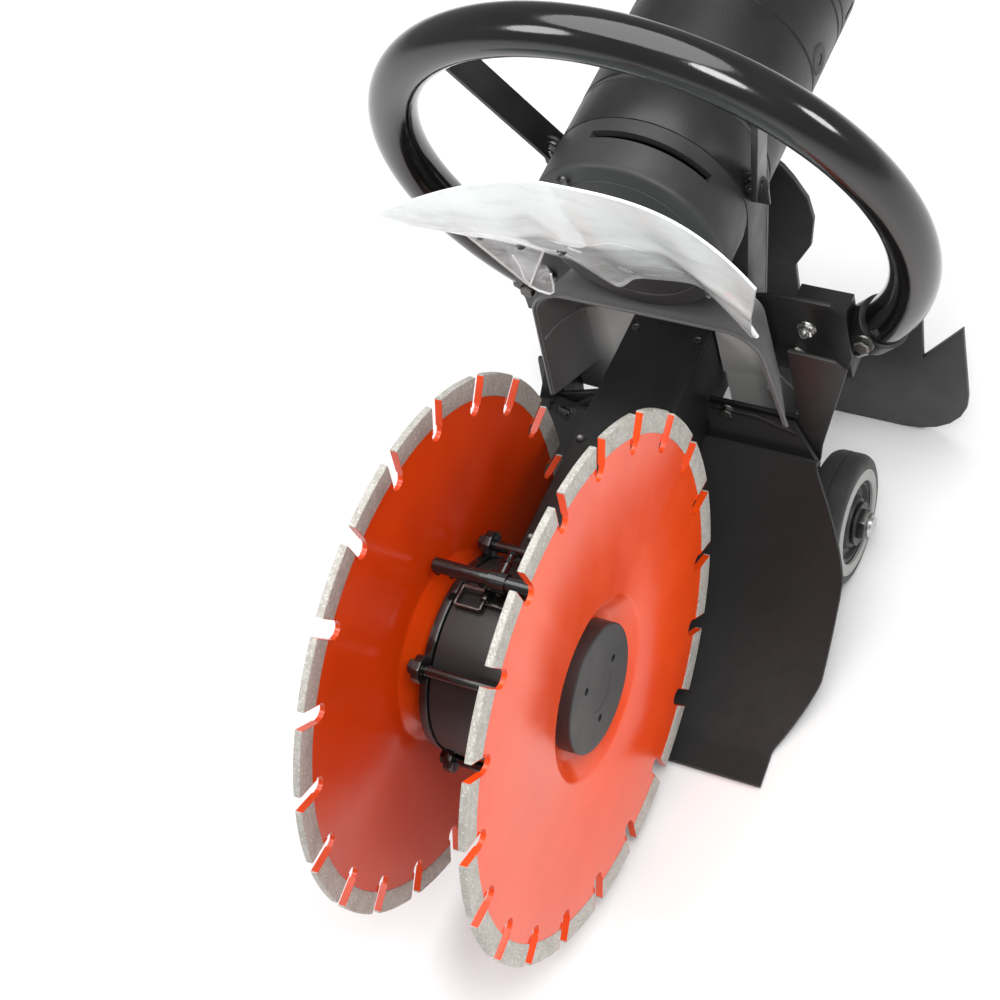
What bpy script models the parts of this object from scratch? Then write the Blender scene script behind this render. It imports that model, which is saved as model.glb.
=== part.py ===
# Twin-blade wall chaser, modelled as the separate pieces it is assembled from.
# Metres, +Z up.  X is the blade shaft, +Y runs along the arm from the blades to the motor,
# and Z = 0 is the surface that the two wheels and the rear stand roll and rest on.

import math

import bmesh
import bpy
from mathutils import Matrix, Vector

mm = 0.001
gap = 0.3 * mm

# Blades and their shaft
shaft_z = 188 * mm
blade_x = 53.3 * mm
blade_radius = 175 * mm
core_thickness = 4.6 * mm
segment_count = 20
gullet_bottom = 149 * mm
gullet_width = 11.5 * mm
gullet_phase = math.radians(10.5)
dish_depth = 12 * mm
dish_outer = 60 * mm
dish_inner = 50 * mm
shaft_radius = 12 * mm
flange_radius = 42 * mm
flange_face = 2.5 * mm

# Gear drum between the blades
drum_radius = 62 * mm
drum_wall = 6 * mm
drum_half_width = 30 * mm
cover_thickness = 5.2 * mm
bolt_circle = 70 * mm
bolt_angles = [math.radians(39.8 + 90 * k) for k in range(4)]
bolt_radius = 3.5 * mm

# Arm
arm_half_width = 28 * mm
arm_bottom = 136 * mm
arm_top = 206 * mm
arm_wall = 4 * mm
arm_end = 277.5 * mm
drive_radius = 8 * mm

# Gear train: pinion on the rotor, idler, drive gear (pitch radii)
motor_z = 324 * mm
motor_radius = 65 * mm
pinion_radius = 14 * mm
idler_radius = 42 * mm
drive_gear_radius = 38 * mm
idler_z = motor_z - pinion_radius - idler_radius
gear_front = 287 * mm
gear_width = 14 * mm
case_front = 278 * mm
case_back = 312 * mm
case_wall = 4 * mm
case_foot_radius = 46 * mm

# Motor
nose_front = 237 * mm
plate_back = 316 * mm
casing_back = 452 * mm
motor_back = 498 * mm
gland_length = 24 * mm
motor_wall = 4 * mm

# Ring handle, leaning towards the blades
ring_centre = Vector((0, 272.6 * mm, 321.7 * mm))
ring_radius = 173 * mm
ring_tube = 16 * mm
ring_lean = math.radians(9.6)
ring_half_arc = math.radians(146)
ring_steps = 36
strut_angle = math.radians(36)

# Wheels
wheel_y = 243 * mm
wheel_radius = 48 * mm
wheel_inner = 96 * mm
wheel_outer = 123.5 * mm
axle_radius = 8 * mm

# Guards
plate_y = 241 * mm
sheet = 3 * mm
stand_y = 363 * mm
stand_thickness = 4 * mm


def clear_scene():
    for item in list(bpy.data.objects):
        bpy.data.objects.remove(item, do_unlink=True)


def new_collection(name):
    collection = bpy.data.collections.new(name)
    bpy.context.scene.collection.children.link(collection)
    return collection


def make_material(name, colour, roughness, metallic):
    material = bpy.data.materials.new(name)
    material.use_nodes = True
    shader = material.node_tree.nodes["Principled BSDF"]
    shader.inputs["Base Color"].default_value = (*colour, 1)
    shader.inputs["Roughness"].default_value = roughness
    shader.inputs["Metallic"].default_value = metallic
    return material


clear_scene()
parts = new_collection("wall_chaser")
cutters = new_collection("cutters")
finishes = {
    "blade_paint": ((0.85, 0.10, 0.01), 0.35, 0.1),
    "black_metal": ((0.02, 0.02, 0.02), 0.35, 0.6),
    "gloss_black": ((0.01, 0.01, 0.01), 0.12, 0.2),
    "satin_black": ((0.03, 0.03, 0.03), 0.45, 0.1),
    "bare_steel": ((0.55, 0.55, 0.56), 0.3, 1.0),
    "rubber": ((0.02, 0.02, 0.02), 0.8, 0.0),
    "sheet_grey": ((0.08, 0.08, 0.08), 0.5, 0.3),
    "clear_plastic": ((0.85, 0.87, 0.88), 0.1, 0.0),
    "copper": ((0.72, 0.35, 0.18), 0.35, 1.0),
    "carbon": ((0.05, 0.05, 0.05), 0.6, 0.2),
    "aluminium": ((0.6, 0.6, 0.6), 0.4, 1.0),
}


def add_piece(name, bm, finish, origin=(0, 0, 0), smooth=True):
    """Turn a bmesh drawn in world coordinates into a named object whose origin is at origin."""
    bmesh.ops.recalc_face_normals(bm, faces=bm.faces)
    bmesh.ops.translate(bm, verts=bm.verts, vec=-Vector(origin))
    mesh = bpy.data.meshes.new(name)
    bm.to_mesh(mesh)
    bm.free()
    if smooth:
        mesh.shade_smooth()
        mesh.set_sharp_from_angle(angle=math.radians(30))
    material = bpy.data.materials.get(finish) or make_material(finish, *finishes[finish])
    mesh.materials.append(material)
    item = bpy.data.objects.new(name, mesh)
    item.location = origin
    parts.objects.link(item)
    return item


def add_cutter(name, bm):
    bmesh.ops.recalc_face_normals(bm, faces=bm.faces)
    mesh = bpy.data.meshes.new(name)
    bm.to_mesh(mesh)
    bm.free()
    item = bpy.data.objects.new(name, mesh)
    item.hide_render = True
    item.display_type = "WIRE"
    cutters.objects.link(item)
    return item


def boolean(item, bm, operation="DIFFERENCE"):
    tool = add_cutter(f"{item.name}_{operation.lower()}_{len(item.modifiers)}", bm)
    step = item.modifiers.new(operation.lower(), "BOOLEAN")
    step.operation = operation
    step.solver = "EXACT"
    step.object = tool
    return item


def along(axis):
    """Rotation that carries local Z onto the world axis X or Y, leaving Z as it is."""
    if axis == "X":
        return Matrix.Rotation(math.radians(90), 4, "Y")
    if axis == "Y":
        return Matrix.Rotation(math.radians(-90), 4, "X")
    return Matrix.Identity(4)


def turn(profile, steps, axis, centre=(0, 0, 0)):
    """Turn a closed (radius, distance) outline about an axis through centre."""
    bm = bmesh.new()
    ring = [bm.verts.new((radius, 0, distance)) for radius, distance in profile]
    edges = [bm.edges.new((a, b)) for a, b in zip(ring, ring[1:])]
    if profile[0][0] > 0 or profile[-1][0] > 0:
        edges.append(bm.edges.new((ring[-1], ring[0])))
    bmesh.ops.spin(bm, geom=ring + edges, angle=math.tau, steps=steps, axis=(0, 0, 1), use_merge=True)
    bmesh.ops.remove_doubles(bm, verts=bm.verts, dist=1e-6)
    bmesh.ops.transform(bm, matrix=Matrix.Translation(centre) @ along(axis), verts=bm.verts)
    return bm


def ring_profile(inner, outer, start, end):
    return [(outer, end), (outer, start), (inner, start), (inner, end)]


def rod_profile(radius, start, end):
    return [(0, end), (radius, end), (radius, start), (0, start)]


def rod(radius, start, end, axis, centre=(0, 0, 0), steps=16):
    return turn(rod_profile(radius, start, end), steps, axis, centre)


def prism(outline, start, end, axis):
    """Extrude an outline; it is given as (x, y) for Z, (x, z) for Y and (y, z) for X."""
    place = {
        "Z": lambda a, b, c: (a, b, c),
        "Y": lambda a, b, c: (a, c, b),
        "X": lambda a, b, c: (c, a, b),
    }[axis]
    bm = bmesh.new()
    face = bm.faces.new([bm.verts.new(place(a, b, start)) for a, b in outline])
    raised = bmesh.ops.extrude_face_region(bm, geom=[face])
    moved = [v for v in raised["geom"] if isinstance(v, bmesh.types.BMVert)]
    bmesh.ops.translate(bm, verts=moved, vec=Vector(place(0, 0, end - start)))
    return bm


def box(low, high):
    bm = bmesh.new()
    bmesh.ops.create_cube(bm, size=1)
    size = Vector(high) - Vector(low)
    bmesh.ops.scale(bm, vec=size, verts=bm.verts)
    bmesh.ops.translate(bm, vec=(Vector(high) + Vector(low)) / 2, verts=bm.verts)
    return bm


def joined(*meshes):
    """Put several closed bodies that do not touch into one bmesh, for cutting."""
    whole = bmesh.new()
    for bm in meshes:
        copy = bpy.data.meshes.new("joined")
        bm.to_mesh(copy)
        bm.free()
        whole.from_mesh(copy)
        bpy.data.meshes.remove(copy)
    return whole


def arc(centre, radius, start, end, steps):
    """Points on an arc, angles in degrees."""
    points = []
    for k in range(steps + 1):
        angle = math.radians(start + (end - start) * k / steps)
        points.append((centre[0] + radius * math.cos(angle), centre[1] + radius * math.sin(angle)))
    return points


def gear_outline(count, tip, root):
    """Straight-sided teeth, a little narrower than their gaps."""
    points = []
    pitch = math.tau / count
    for tooth in range(count):
        for share, radius in ((-0.36, root), (-0.17, tip), (0.17, tip), (0.36, root)):
            angle = (tooth + share) * pitch
            points.append((radius * math.cos(angle), radius * math.sin(angle)))
    return points


def shifted(outline, across, up):
    return [(a + across, b + up) for a, b in outline]


# ---- blade set: turns about X through (0, 0, shaft_z) ------------------------------------------

shaft_centre = (0, 0, shaft_z)


def gullet_cutter(side):
    """All the round-bottomed gullets of one blade."""
    reach = 40 * mm
    half = gullet_width / 2
    outline = arc((0, half), half, 180, 360, 4) + [(half, reach), (-half, reach)]
    slots = []
    for k in range(segment_count):
        angle = gullet_phase + math.tau * k / segment_count
        bm = prism(outline, -6 * mm, 6 * mm, "X")
        bmesh.ops.translate(bm, vec=(side * blade_x, 0, gullet_bottom), verts=bm.verts)
        bmesh.ops.rotate(bm, cent=(0, 0, 0), matrix=Matrix.Rotation(angle, 3, "X"), verts=bm.verts)
        slots.append(bm)
    return joined(*slots)


def make_blade(name, side):
    t = core_thickness / 2
    lift = 0.9 * mm
    profile = [
        (blade_radius, t), (blade_radius, -t),
        (dish_outer + lift, -t), (dish_inner + lift, -t - dish_depth),
        (shaft_radius + gap, -t - dish_depth), (shaft_radius + gap, t - dish_depth),
        (dish_inner - lift, t - dish_depth), (dish_outer - lift, t),
    ]
    bm = turn([(r, side * (blade_x + d)) for r, d in profile], 40, "X")
    blade = add_piece(name, bm, "blade_paint")
    boolean(blade, gullet_cutter(side))
    blade.location = shaft_centre
    blade.modifiers[0].object.location = shaft_centre
    return blade


def make_blade_set():
    floor = blade_x + core_thickness / 2 - dish_depth
    for name, side in (("left", -1), ("right", 1)):
        make_blade(f"blade_{name}", side)
        inner = floor + gap
        outer = blade_x + flange_face
        bore = [(0, outer), (flange_radius, outer), (flange_radius, inner),
                (shaft_radius + gap, inner), (shaft_radius + gap, outer - 4 * mm), (0, outer - 4 * mm)]
        flange = add_piece(f"outer_flange_{name}",
                           turn([(r, side * d) for r, d in bore], 28, "X", shaft_centre),
                           "black_metal", shaft_centre)
        holes = []
        for k in range(3):
            angle = math.radians(5 + 120 * k)
            centre = (0, 22 * mm * math.cos(angle), shaft_z + 22 * mm * math.sin(angle))
            holes.append(rod(2.6 * mm, side * (outer - 6 * mm), side * (outer + 2 * mm), "X", centre, 6))
        boolean(flange, joined(*holes))
        collar_end = floor - core_thickness - gap
        add_piece(f"inner_flange_{name}",
                  turn(ring_profile(shaft_radius + gap, 30 * mm, side * (collar_end - 3 * mm),
                                    side * collar_end), 20, "X", shaft_centre),
                  "bare_steel", shaft_centre)
    end = blade_x + flange_face - 4 * mm - gap
    add_piece("blade_shaft", rod(shaft_radius, -end, end, "X", shaft_centre, 20), "bare_steel", shaft_centre)

    teeth = prism(gear_outline(24, 25.6 * mm, 23.2 * mm), -24 * mm, -13.8 * mm, "X")
    gear = add_piece("ring_gear", teeth, "bare_steel")
    cone = turn([(15.4 * mm, -8.4 * mm), (26.4 * mm, -14.2 * mm), (26.4 * mm, -7 * mm), (15.4 * mm, -7 * mm)],
                24, "X")
    boolean(gear, rod(18 * mm, -26 * mm, -8.6 * mm, "X", steps=24), "UNION")
    boolean(gear, cone)
    boolean(gear, rod(shaft_radius + gap, -30 * mm, 0, "X", steps=20))
    gear.location = shaft_centre
    for step in gear.modifiers:
        step.object.location = shaft_centre


# ---- drive shaft: turns about Y through (0, 0, shaft_z) ----------------------------------------

def make_drive_shaft():
    origin = (0, 160 * mm, shaft_z)
    centre = (0, 0, shaft_z)
    shaft = add_piece("drive_shaft", rod(drive_radius, 22 * mm, 308 * mm, "Y", centre, 16),
                      "bare_steel", origin)
    teeth = prism(shifted(gear_outline(12, 12.4 * mm, 10.4 * mm), 0, shaft_z), 17 * mm, 27 * mm, "Y")
    small_end = [v for v in teeth.verts if v.co.y < 20 * mm]
    bmesh.ops.scale(teeth, vec=(0.62, 1, 0.62), space=Matrix.Translation((0, 0, -shaft_z)), verts=small_end)
    boolean(shaft, teeth, "UNION")
    wheel = prism(shifted(gear_outline(38, drive_gear_radius - gap, drive_gear_radius - 3 * mm), 0, shaft_z),
                  gear_front, gear_front + gear_width, "Y")
    gear = add_piece("drive_gear", wheel, "bare_steel", origin)
    boolean(gear, rod(drive_radius + gap, gear_front - 5 * mm, gear_front + 19 * mm, "Y", centre, 16))


def make_idler():
    centre = (0, 0, idler_z)
    origin = (0, gear_front, idler_z)
    teeth = prism(shifted(gear_outline(42, idler_radius - gap, idler_radius - 3 * mm), 0, idler_z),
                  gear_front + 0.5 * mm, gear_front + gear_width - 0.5 * mm, "Y")
    gear = add_piece("idler_gear", teeth, "bare_steel", origin)
    boolean(gear, rod(6 * mm + gap, 270 * mm, 320 * mm, "Y", centre, 16))
    boolean(gear, joined(*[rod(7 * mm, 270 * mm, 320 * mm, "Y",
                               (24 * mm * math.cos(k * math.tau / 6), 0,
                                idler_z + 24 * mm * math.sin(k * math.tau / 6)), 8) for k in range(6)]))
    add_piece("idler_pin", rod(6 * mm, 282.5 * mm, 311.5 * mm, "Y", centre, 16), "bare_steel")


# ---- motor ------------------------------------------------------------------------------------

def make_rotor():
    centre = (0, 0, motor_z)
    origin = (0, 360 * mm, motor_z)
    shaft = add_piece("rotor_shaft", rod(drive_radius, 284 * mm, 476 * mm, "Y", centre, 16),
                      "bare_steel", origin)
    teeth = prism(shifted(gear_outline(14, pinion_radius - gap, pinion_radius - 3 * mm), 0, motor_z),
                  gear_front, gear_front + gear_width, "Y")
    boolean(shaft, teeth, "UNION")
    core = gear_outline(16, 37 * mm, 33 * mm)
    armature = add_piece("rotor_core", prism(shifted(core, 0, motor_z), 332 * mm, 390 * mm, "Y"),
                         "bare_steel", origin, smooth=False)
    boolean(armature, rod(drive_radius + gap, 320 * mm, 400 * mm, "Y", centre, 16))
    bars = ring_profile(drive_radius + gap, 20 * mm, 396 * mm, 420 * mm)
    add_piece("commutator", turn(bars, 24, "Y", centre), "copper", origin)
    blades = prism(shifted(gear_outline(12, 52 * mm, 20 * mm), 0, motor_z), 430 * mm, 442 * mm, "Y")
    fan = add_piece("fan", blades, "satin_black", origin, smooth=False)
    boolean(fan, rod(drive_radius + gap, 420 * mm, 460 * mm, "Y", centre, 16))


def case_outline(inset=0.0):
    """Round head about the motor axis, tapering to a round foot about the drive shaft."""
    head = motor_radius - inset
    foot = case_foot_radius - inset
    lean = math.degrees(math.asin((motor_radius - case_foot_radius) / (motor_z - shaft_z)))
    upper = arc((0, motor_z), head, -lean, 180 + lean, 18)
    lower = arc((0, shaft_z), foot, 180 + lean, 360 - lean, 10)
    return upper + lower


def make_motor_shells():
    centre = (0, 0, motor_z)
    round_cut = rod(16.3 * mm, case_front - 10 * mm, case_front + 10 * mm, "Y", (0, 0, shaft_z), 20)
    case = add_piece("gear_case", prism(case_outline(), case_front, case_back, "Y"), "satin_black")
    boolean(case, prism(case_outline(case_wall), case_front + case_wall, case_back + 5 * mm, "Y"))
    boolean(case, round_cut)

    face = nose_front
    nose = [(0, face), (motor_radius - 5 * mm, face), (motor_radius - 1.5 * mm, face + 1.5 * mm),
            (motor_radius, face + 5 * mm), (motor_radius, case_front - gap),
            (motor_radius - motor_wall, case_front - gap), (motor_radius - motor_wall, face + motor_wall),
            (0, face + motor_wall)]
    cap = add_piece("nose_cap", turn(nose, 32, "Y", centre), "satin_black")
    slot = arc((0, motor_z), motor_radius - 6 * mm, 37, 111, 6)
    slot += arc((0, motor_z), motor_radius + 4 * mm, 111, 37, 6)
    boolean(cap, prism(slot, 262 * mm, 265.5 * mm, "Y"))

    plate = add_piece("bearing_plate", prism(case_outline(), case_back + gap, plate_back, "Y"), "aluminium")
    boolean(plate, joined(rod(18.3 * mm, 305 * mm, 325 * mm, "Y", centre, 20),
                          rod(16.3 * mm, 305 * mm, 325 * mm, "Y", (0, 0, shaft_z), 20)))

    start = plate_back + gap
    shell = ring_profile(motor_radius - motor_wall, motor_radius, start, casing_back)
    add_piece("motor_casing", turn(shell, 32, "Y", centre), "satin_black")

    back = motor_back
    r = motor_radius
    w = motor_wall
    tail = [(0, back), (r - 18 * mm, back), (r - 6 * mm, back - 5 * mm), (r, back - 20 * mm),
            (r, casing_back + gap), (r - w, casing_back + gap), (r - w, back - 22 * mm),
            (r - 16 * mm, back - w), (19 * mm, back - w), (19 * mm, back - 32 * mm),
            (14.3 * mm, back - 32 * mm), (14.3 * mm, back - 16 * mm), (0, back - 16 * mm)]
    cover = add_piece("rear_cover", turn(tail, 32, "Y", centre), "satin_black")
    vents = []
    for k in range(16):
        angle = math.tau * (k + 0.5) / 16
        bm = box((-2 * mm, 458 * mm, r - 10 * mm), (2 * mm, 474 * mm, r + 5 * mm))
        bmesh.ops.rotate(bm, cent=(0, 0, 0), matrix=Matrix.Rotation(angle, 3, "Y"), verts=bm.verts)
        bmesh.ops.translate(bm, vec=centre, verts=bm.verts)
        vents.append(bm)
    boolean(cover, joined(*vents))
    boolean(cover, joined(box((-11 * mm, 489 * mm, 348 * mm), (11 * mm, 510 * mm, 372 * mm)),
                          rod(9.3 * mm, 480 * mm, 520 * mm, "Y", (0, 0, 284 * mm), 16)))
    gland = ring_profile(4.5 * mm, 9 * mm, 488 * mm, motor_back + gland_length)
    add_piece("cable_gland", turn(gland, 16, "Y", (0, 0, 284 * mm)), "rubber")

    add_piece("stator_core", turn(ring_profile(38.5 * mm, 60.5 * mm, 332 * mm, 390 * mm), 24, "Y", centre),
              "bare_steel")
    for name, side in (("left", -1), ("right", 1)):
        low, high = sorted((side * 20.4 * mm, side * 50 * mm))
        block = box((low, 402 * mm, motor_z - 4 * mm), (high, 414 * mm, motor_z + 4 * mm))
        add_piece(f"carbon_brush_{name}", block, "carbon", smooth=False)
    for name, outer, start in (("front", 18 * mm, 309 * mm), ("rear", 14 * mm, 467 * mm)):
        bearing = ring_profile(drive_radius + gap, outer, start, start + 10 * mm)
        add_piece(f"rotor_bearing_{name}", turn(bearing, 24, "Y", centre), "bare_steel")


def make_rocker():
    hinge = (0, 494 * mm, 360 * mm)
    outline = [(-11 * mm, 5.5 * mm), (0, 4 * mm), (10.4 * mm, 7.5 * mm), (10.4 * mm, 4.5 * mm),
               (4 * mm, -2 * mm), (-4 * mm, -2 * mm), (-11 * mm, 2 * mm)]
    key = prism([(y + hinge[1], -z + hinge[2]) for z, y in outline], -10 * mm, 10 * mm, "X")
    add_piece("rocker_switch", key, "satin_black", hinge, smooth=False)


# ---- drum and arm -----------------------------------------------------------------------------

def make_drum():
    inner = drum_radius - drum_wall
    drum = add_piece("gear_drum", turn(ring_profile(inner, drum_radius, -drum_half_width, drum_half_width),
                                       36, "X", shaft_centre), "gloss_black")
    boolean(drum, rod(18.3 * mm, 40 * mm, 70 * mm, "Y", shaft_centre, 24))
    start = drum_half_width + gap
    end = start + cover_thickness
    for name, side in (("left", -1), ("right", 1)):
        cover = add_piece(f"drum_cover_{name}", rod(drum_radius + 1.5 * mm, side * start, side * end, "X",
                                                    shaft_centre, 36), "gloss_black")
        for angle in bolt_angles:
            centre = (0, bolt_circle * math.cos(angle), shaft_z + bolt_circle * math.sin(angle))
            boolean(cover, rod(9 * mm, side * start, side * end, "X", centre, 10), "UNION")
        holes = [rod(22.3 * mm, side * 20 * mm, side * 45 * mm, "X", shaft_centre, 24)]
        for angle in bolt_angles:
            centre = (0, bolt_circle * math.cos(angle), shaft_z + bolt_circle * math.sin(angle))
            holes.append(rod(bolt_radius + gap, side * 20 * mm, side * 45 * mm, "X", centre, 12))
        boolean(cover, joined(*holes))
        bearing = ring_profile(shaft_radius + gap, 22 * mm, side * 27 * mm, side * end)
        add_piece(f"shaft_bearing_{name}", turn(bearing, 24, "X", shaft_centre), "bare_steel")
    for k, angle in enumerate(bolt_angles):
        centre = (0, bolt_circle * math.cos(angle), shaft_z + bolt_circle * math.sin(angle))
        bolt = bolt_mesh(bolt_radius, 6.5 * mm, -end - gap, end + gap, centre)
        add_piece(f"drum_bolt_{k + 1}", bolt, "gloss_black")


def bolt_mesh(shank, head, start, end, centre):
    """A long screw with a hexagon head at each end, drawn as one stepped prism along X."""
    bm = bmesh.new()
    bmesh.ops.create_circle(bm, cap_ends=True, radius=head, segments=6)
    face = bm.faces[:][0]
    steps = [(start - 5 * mm, start, head), (start, end, shank), (end, end + 5 * mm, head)]
    bmesh.ops.translate(bm, vec=(0, 0, start - 5 * mm), verts=bm.verts)
    for low, high, radius in steps:
        if radius != head:
            shrink = radius / head
        elif low != start - 5 * mm:
            shrink = head / shank
        else:
            shrink = 1.0
        if shrink != 1.0:
            made = bmesh.ops.extrude_discrete_faces(bm, faces=[face])
            face = made["faces"][0]
            bmesh.ops.scale(bm, vec=(shrink, shrink, 1), verts=face.verts)
        made = bmesh.ops.extrude_discrete_faces(bm, faces=[face])
        face = made["faces"][0]
        bmesh.ops.translate(bm, vec=(0, 0, high - low), verts=face.verts)
    bmesh.ops.holes_fill(bm, edges=[e for e in bm.edges if e.is_boundary], sides=6)
    bmesh.ops.transform(bm, matrix=Matrix.Translation(centre) @ along("X"), verts=bm.verts)
    return bm


def make_arm():
    front = 50 * mm
    w = arm_half_width
    tray = box((-w, front, arm_bottom), (w, arm_end, arm_top - arm_wall))
    case = add_piece("arm_case", tray, "satin_black")
    inside = w - arm_wall
    floor = arm_bottom + arm_wall
    boolean(case, box((-inside, front - 10 * mm, floor), (inside, arm_end + 10 * mm, arm_top)))
    boolean(case, rod(drum_radius + gap, -40 * mm, 40 * mm, "X", shaft_centre, 36))
    cover = box((-w, front, arm_top - arm_wall + gap), (w, arm_end, arm_top))
    lid = add_piece("arm_lid", cover, "satin_black")
    boolean(lid, rod(drum_radius + gap, -40 * mm, 40 * mm, "X", shaft_centre, 36))
    for name, outer, start, end in (("front", 18 * mm, 47 * mm, 58 * mm),
                                   ("rear", 16 * mm, 277.9 * mm, 285.5 * mm)):
        bearing = ring_profile(drive_radius + gap, outer, start, end)
        add_piece(f"drive_bearing_{name}", turn(bearing, 24, "Y", shaft_centre), "bare_steel")


def make_spray_bar():
    pipe = rod(5 * mm, -44 * mm, 44 * mm, "X", (0, 12 * mm, 268 * mm), 12)
    bar = add_piece("spray_bar", pipe, "gloss_black")
    stem = rod(4 * mm, 256 * mm, 266 * mm, "Z", (0, 12 * mm, 0), 10)
    barb = rod(3.5 * mm, 14 * mm, 34 * mm, "Y", (0, 0, 268 * mm), 10)
    foot = box((-11 * mm, 2 * mm, 250.3 * mm), (11 * mm, 22 * mm, 258 * mm))
    boolean(bar, stem, "UNION")
    boolean(bar, barb, "UNION")
    boolean(bar, foot, "UNION")


# ---- ring handle and its brackets -------------------------------------------------------------

def ring_point(angle):
    """A point of the handle's centre line; zero is its top."""
    across = ring_radius * math.sin(angle)
    up = ring_radius * math.cos(angle)
    return ring_centre + Vector((across, -up * math.sin(ring_lean), up * math.cos(ring_lean)))


def ring_tube_mesh(radius, half_arc, count):
    """The bent tube, as a mesh with welded caps."""
    curve = bpy.data.curves.new("ring_path", "CURVE")
    curve.dimensions = "3D"
    curve.bevel_depth = radius
    curve.bevel_resolution = 3
    curve.use_fill_caps = True
    curve.render_resolution_u = 0
    path = curve.splines.new("POLY")
    path.points.add(count - 1)
    for k, point in enumerate(path.points):
        angle = -half_arc + 2 * half_arc * k / (count - 1)
        point.co = (*ring_point(angle), 1)
    item = bpy.data.objects.new("ring_path", curve)
    cutters.objects.link(item)
    bpy.context.view_layer.update()
    evaluated = item.evaluated_get(bpy.context.evaluated_depsgraph_get())
    mesh = bpy.data.meshes.new_from_object(evaluated)
    bm = bmesh.new()
    bm.from_mesh(mesh)
    bmesh.ops.remove_doubles(bm, verts=bm.verts, dist=1e-6)
    bpy.data.objects.remove(item, do_unlink=True)
    bpy.data.meshes.remove(mesh)
    return bm


def make_handle():
    add_piece("ring_handle", ring_tube_mesh(ring_tube, ring_half_arc, ring_steps + 1), "gloss_black")
    for name, side in (("left", -1), ("right", 1)):
        outline = [(34, 172), (88, 168), (116, 176), (122, 196), (122, 238), (112, 246), (76, 246), (48, 238),
                   (40, 214)]
        outline = [(side * x * mm, z * mm) for x, z in outline]
        bracket = add_piece(f"handle_bracket_{name}", prism(outline, 274.4 * mm, case_front - gap, "Y"),
                            "satin_black", smooth=False)
        cradle = sorted((side * 84 * mm, side * 120 * mm))
        boolean(bracket, box((cradle[0], 276 * mm, 172 * mm), (cradle[1], 296 * mm, 236 * mm)), "UNION")
        longer = ring_half_arc * (1 + 2 / ring_steps)
        boolean(bracket, ring_tube_mesh(ring_tube + gap, longer, ring_steps + 3))

        foot = Vector((side * 68.2 * mm, 291 * mm, 330 * mm))
        head = ring_point(side * strut_angle)
        line = head - foot
        bm = box((-10 * mm, -2.2 * mm, 0), (10 * mm, 2.2 * mm, line.length))
        up = line.normalized()
        flat = Vector((1, 0, 0)) - up * up.x
        flat.normalize()
        wide = flat.cross(up)
        turned = Matrix((wide, flat, up)).transposed().to_4x4()
        bmesh.ops.transform(bm, matrix=Matrix.Translation(foot) @ turned, verts=bm.verts)
        strut = add_piece(f"handle_strut_{name}", bm, "satin_black", smooth=False)
        boolean(strut, ring_tube_mesh(ring_tube + gap, ring_half_arc, ring_steps + 1))


# ---- wheels -----------------------------------------------------------------------------------

def make_wheels():
    centre = (0, wheel_y, wheel_radius)
    for name, side in (("left", -1), ("right", 1)):
        a = side * wheel_inner
        b = side * wheel_outer
        r = wheel_radius
        tyre = [(r - 4 * mm, b), (r, b - side * 4 * mm), (r, a + side * 4 * mm), (r - 4 * mm, a),
                (30.3 * mm, a), (30.3 * mm, b)]
        add_piece(f"tyre_{name}", turn(tyre, 28, "X", centre), "rubber", centre)
        bore = axle_radius + gap
        hub = [(30 * mm, b - side * 2 * mm), (30 * mm, a + side * 2 * mm), (bore, a + side * 2 * mm),
               (bore, b - side * 0.5 * mm), (18 * mm, b - side * 0.5 * mm), (20 * mm, b - side * 5 * mm),
               (26 * mm, b - side * 5 * mm), (27 * mm, b - side * 2 * mm)]
        add_piece(f"wheel_hub_{name}", turn(hub, 24, "X", centre), "black_metal", centre)
        wide = [(y * mm, z * mm) for y, z in ((244.3, 162), (274, 162), (274, 128), (257.5, 48))]
        foot = arc((wheel_y, wheel_radius), 14 * mm, 0, -180, 10)
        outline = wide + foot[1:] + [(236 * mm, 96 * mm), (244.3 * mm, 115 * mm)]
        plate = prism(outline, side * 88 * mm, side * 92 * mm, "X")
        bracket = add_piece(f"axle_bracket_{name}", plate, "satin_black", smooth=False)
        boolean(bracket, rod(axle_radius + gap, side * 80 * mm, side * 100 * mm, "X", centre, 16))
    axle = [(0, -133 * mm), (12 * mm, -133 * mm), (12 * mm, -124.5 * mm), (axle_radius, -124.5 * mm),
            (axle_radius, 135 * mm), (0, 135 * mm)]
    add_piece("axle", turn(axle, 18, "X", centre), "bare_steel")
    nut = ring_profile(axle_radius + gap, 12 * mm, 124.5 * mm, 132 * mm)
    add_piece("axle_nut", turn(nut, 18, "X", centre), "black_metal")


# ---- guards, flap, visor and stand ------------------------------------------------------------

def mirrored(half):
    return half + [(-x, z) for x, z in reversed(half)]


def make_guard_plate():
    """A wide wing on the right, a narrow upright on the left, and a bridge under the arm."""
    wing = [(29, 118), (104, 118), (107, 135), (133, 226), (126, 234), (94, 236), (94, 164), (29, 164)]
    upright = [(-29, 118), (-104, 118), (-99, 165), (-92, 165), (-92, 126), (-60, 140), (-29, 146)]
    plate = None
    for outline in (wing, upright):
        bm = prism([(x * mm, z * mm) for x, z in outline], plate_y, plate_y + sheet, "Y")
        if plate:
            boolean(plate, bm, "UNION")
        else:
            plate = add_piece("guard_plate", bm, "satin_black", smooth=False)
    boolean(plate, box((-40 * mm, plate_y, 118 * mm), (40 * mm, plate_y + sheet, 134 * mm)), "UNION")


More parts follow.
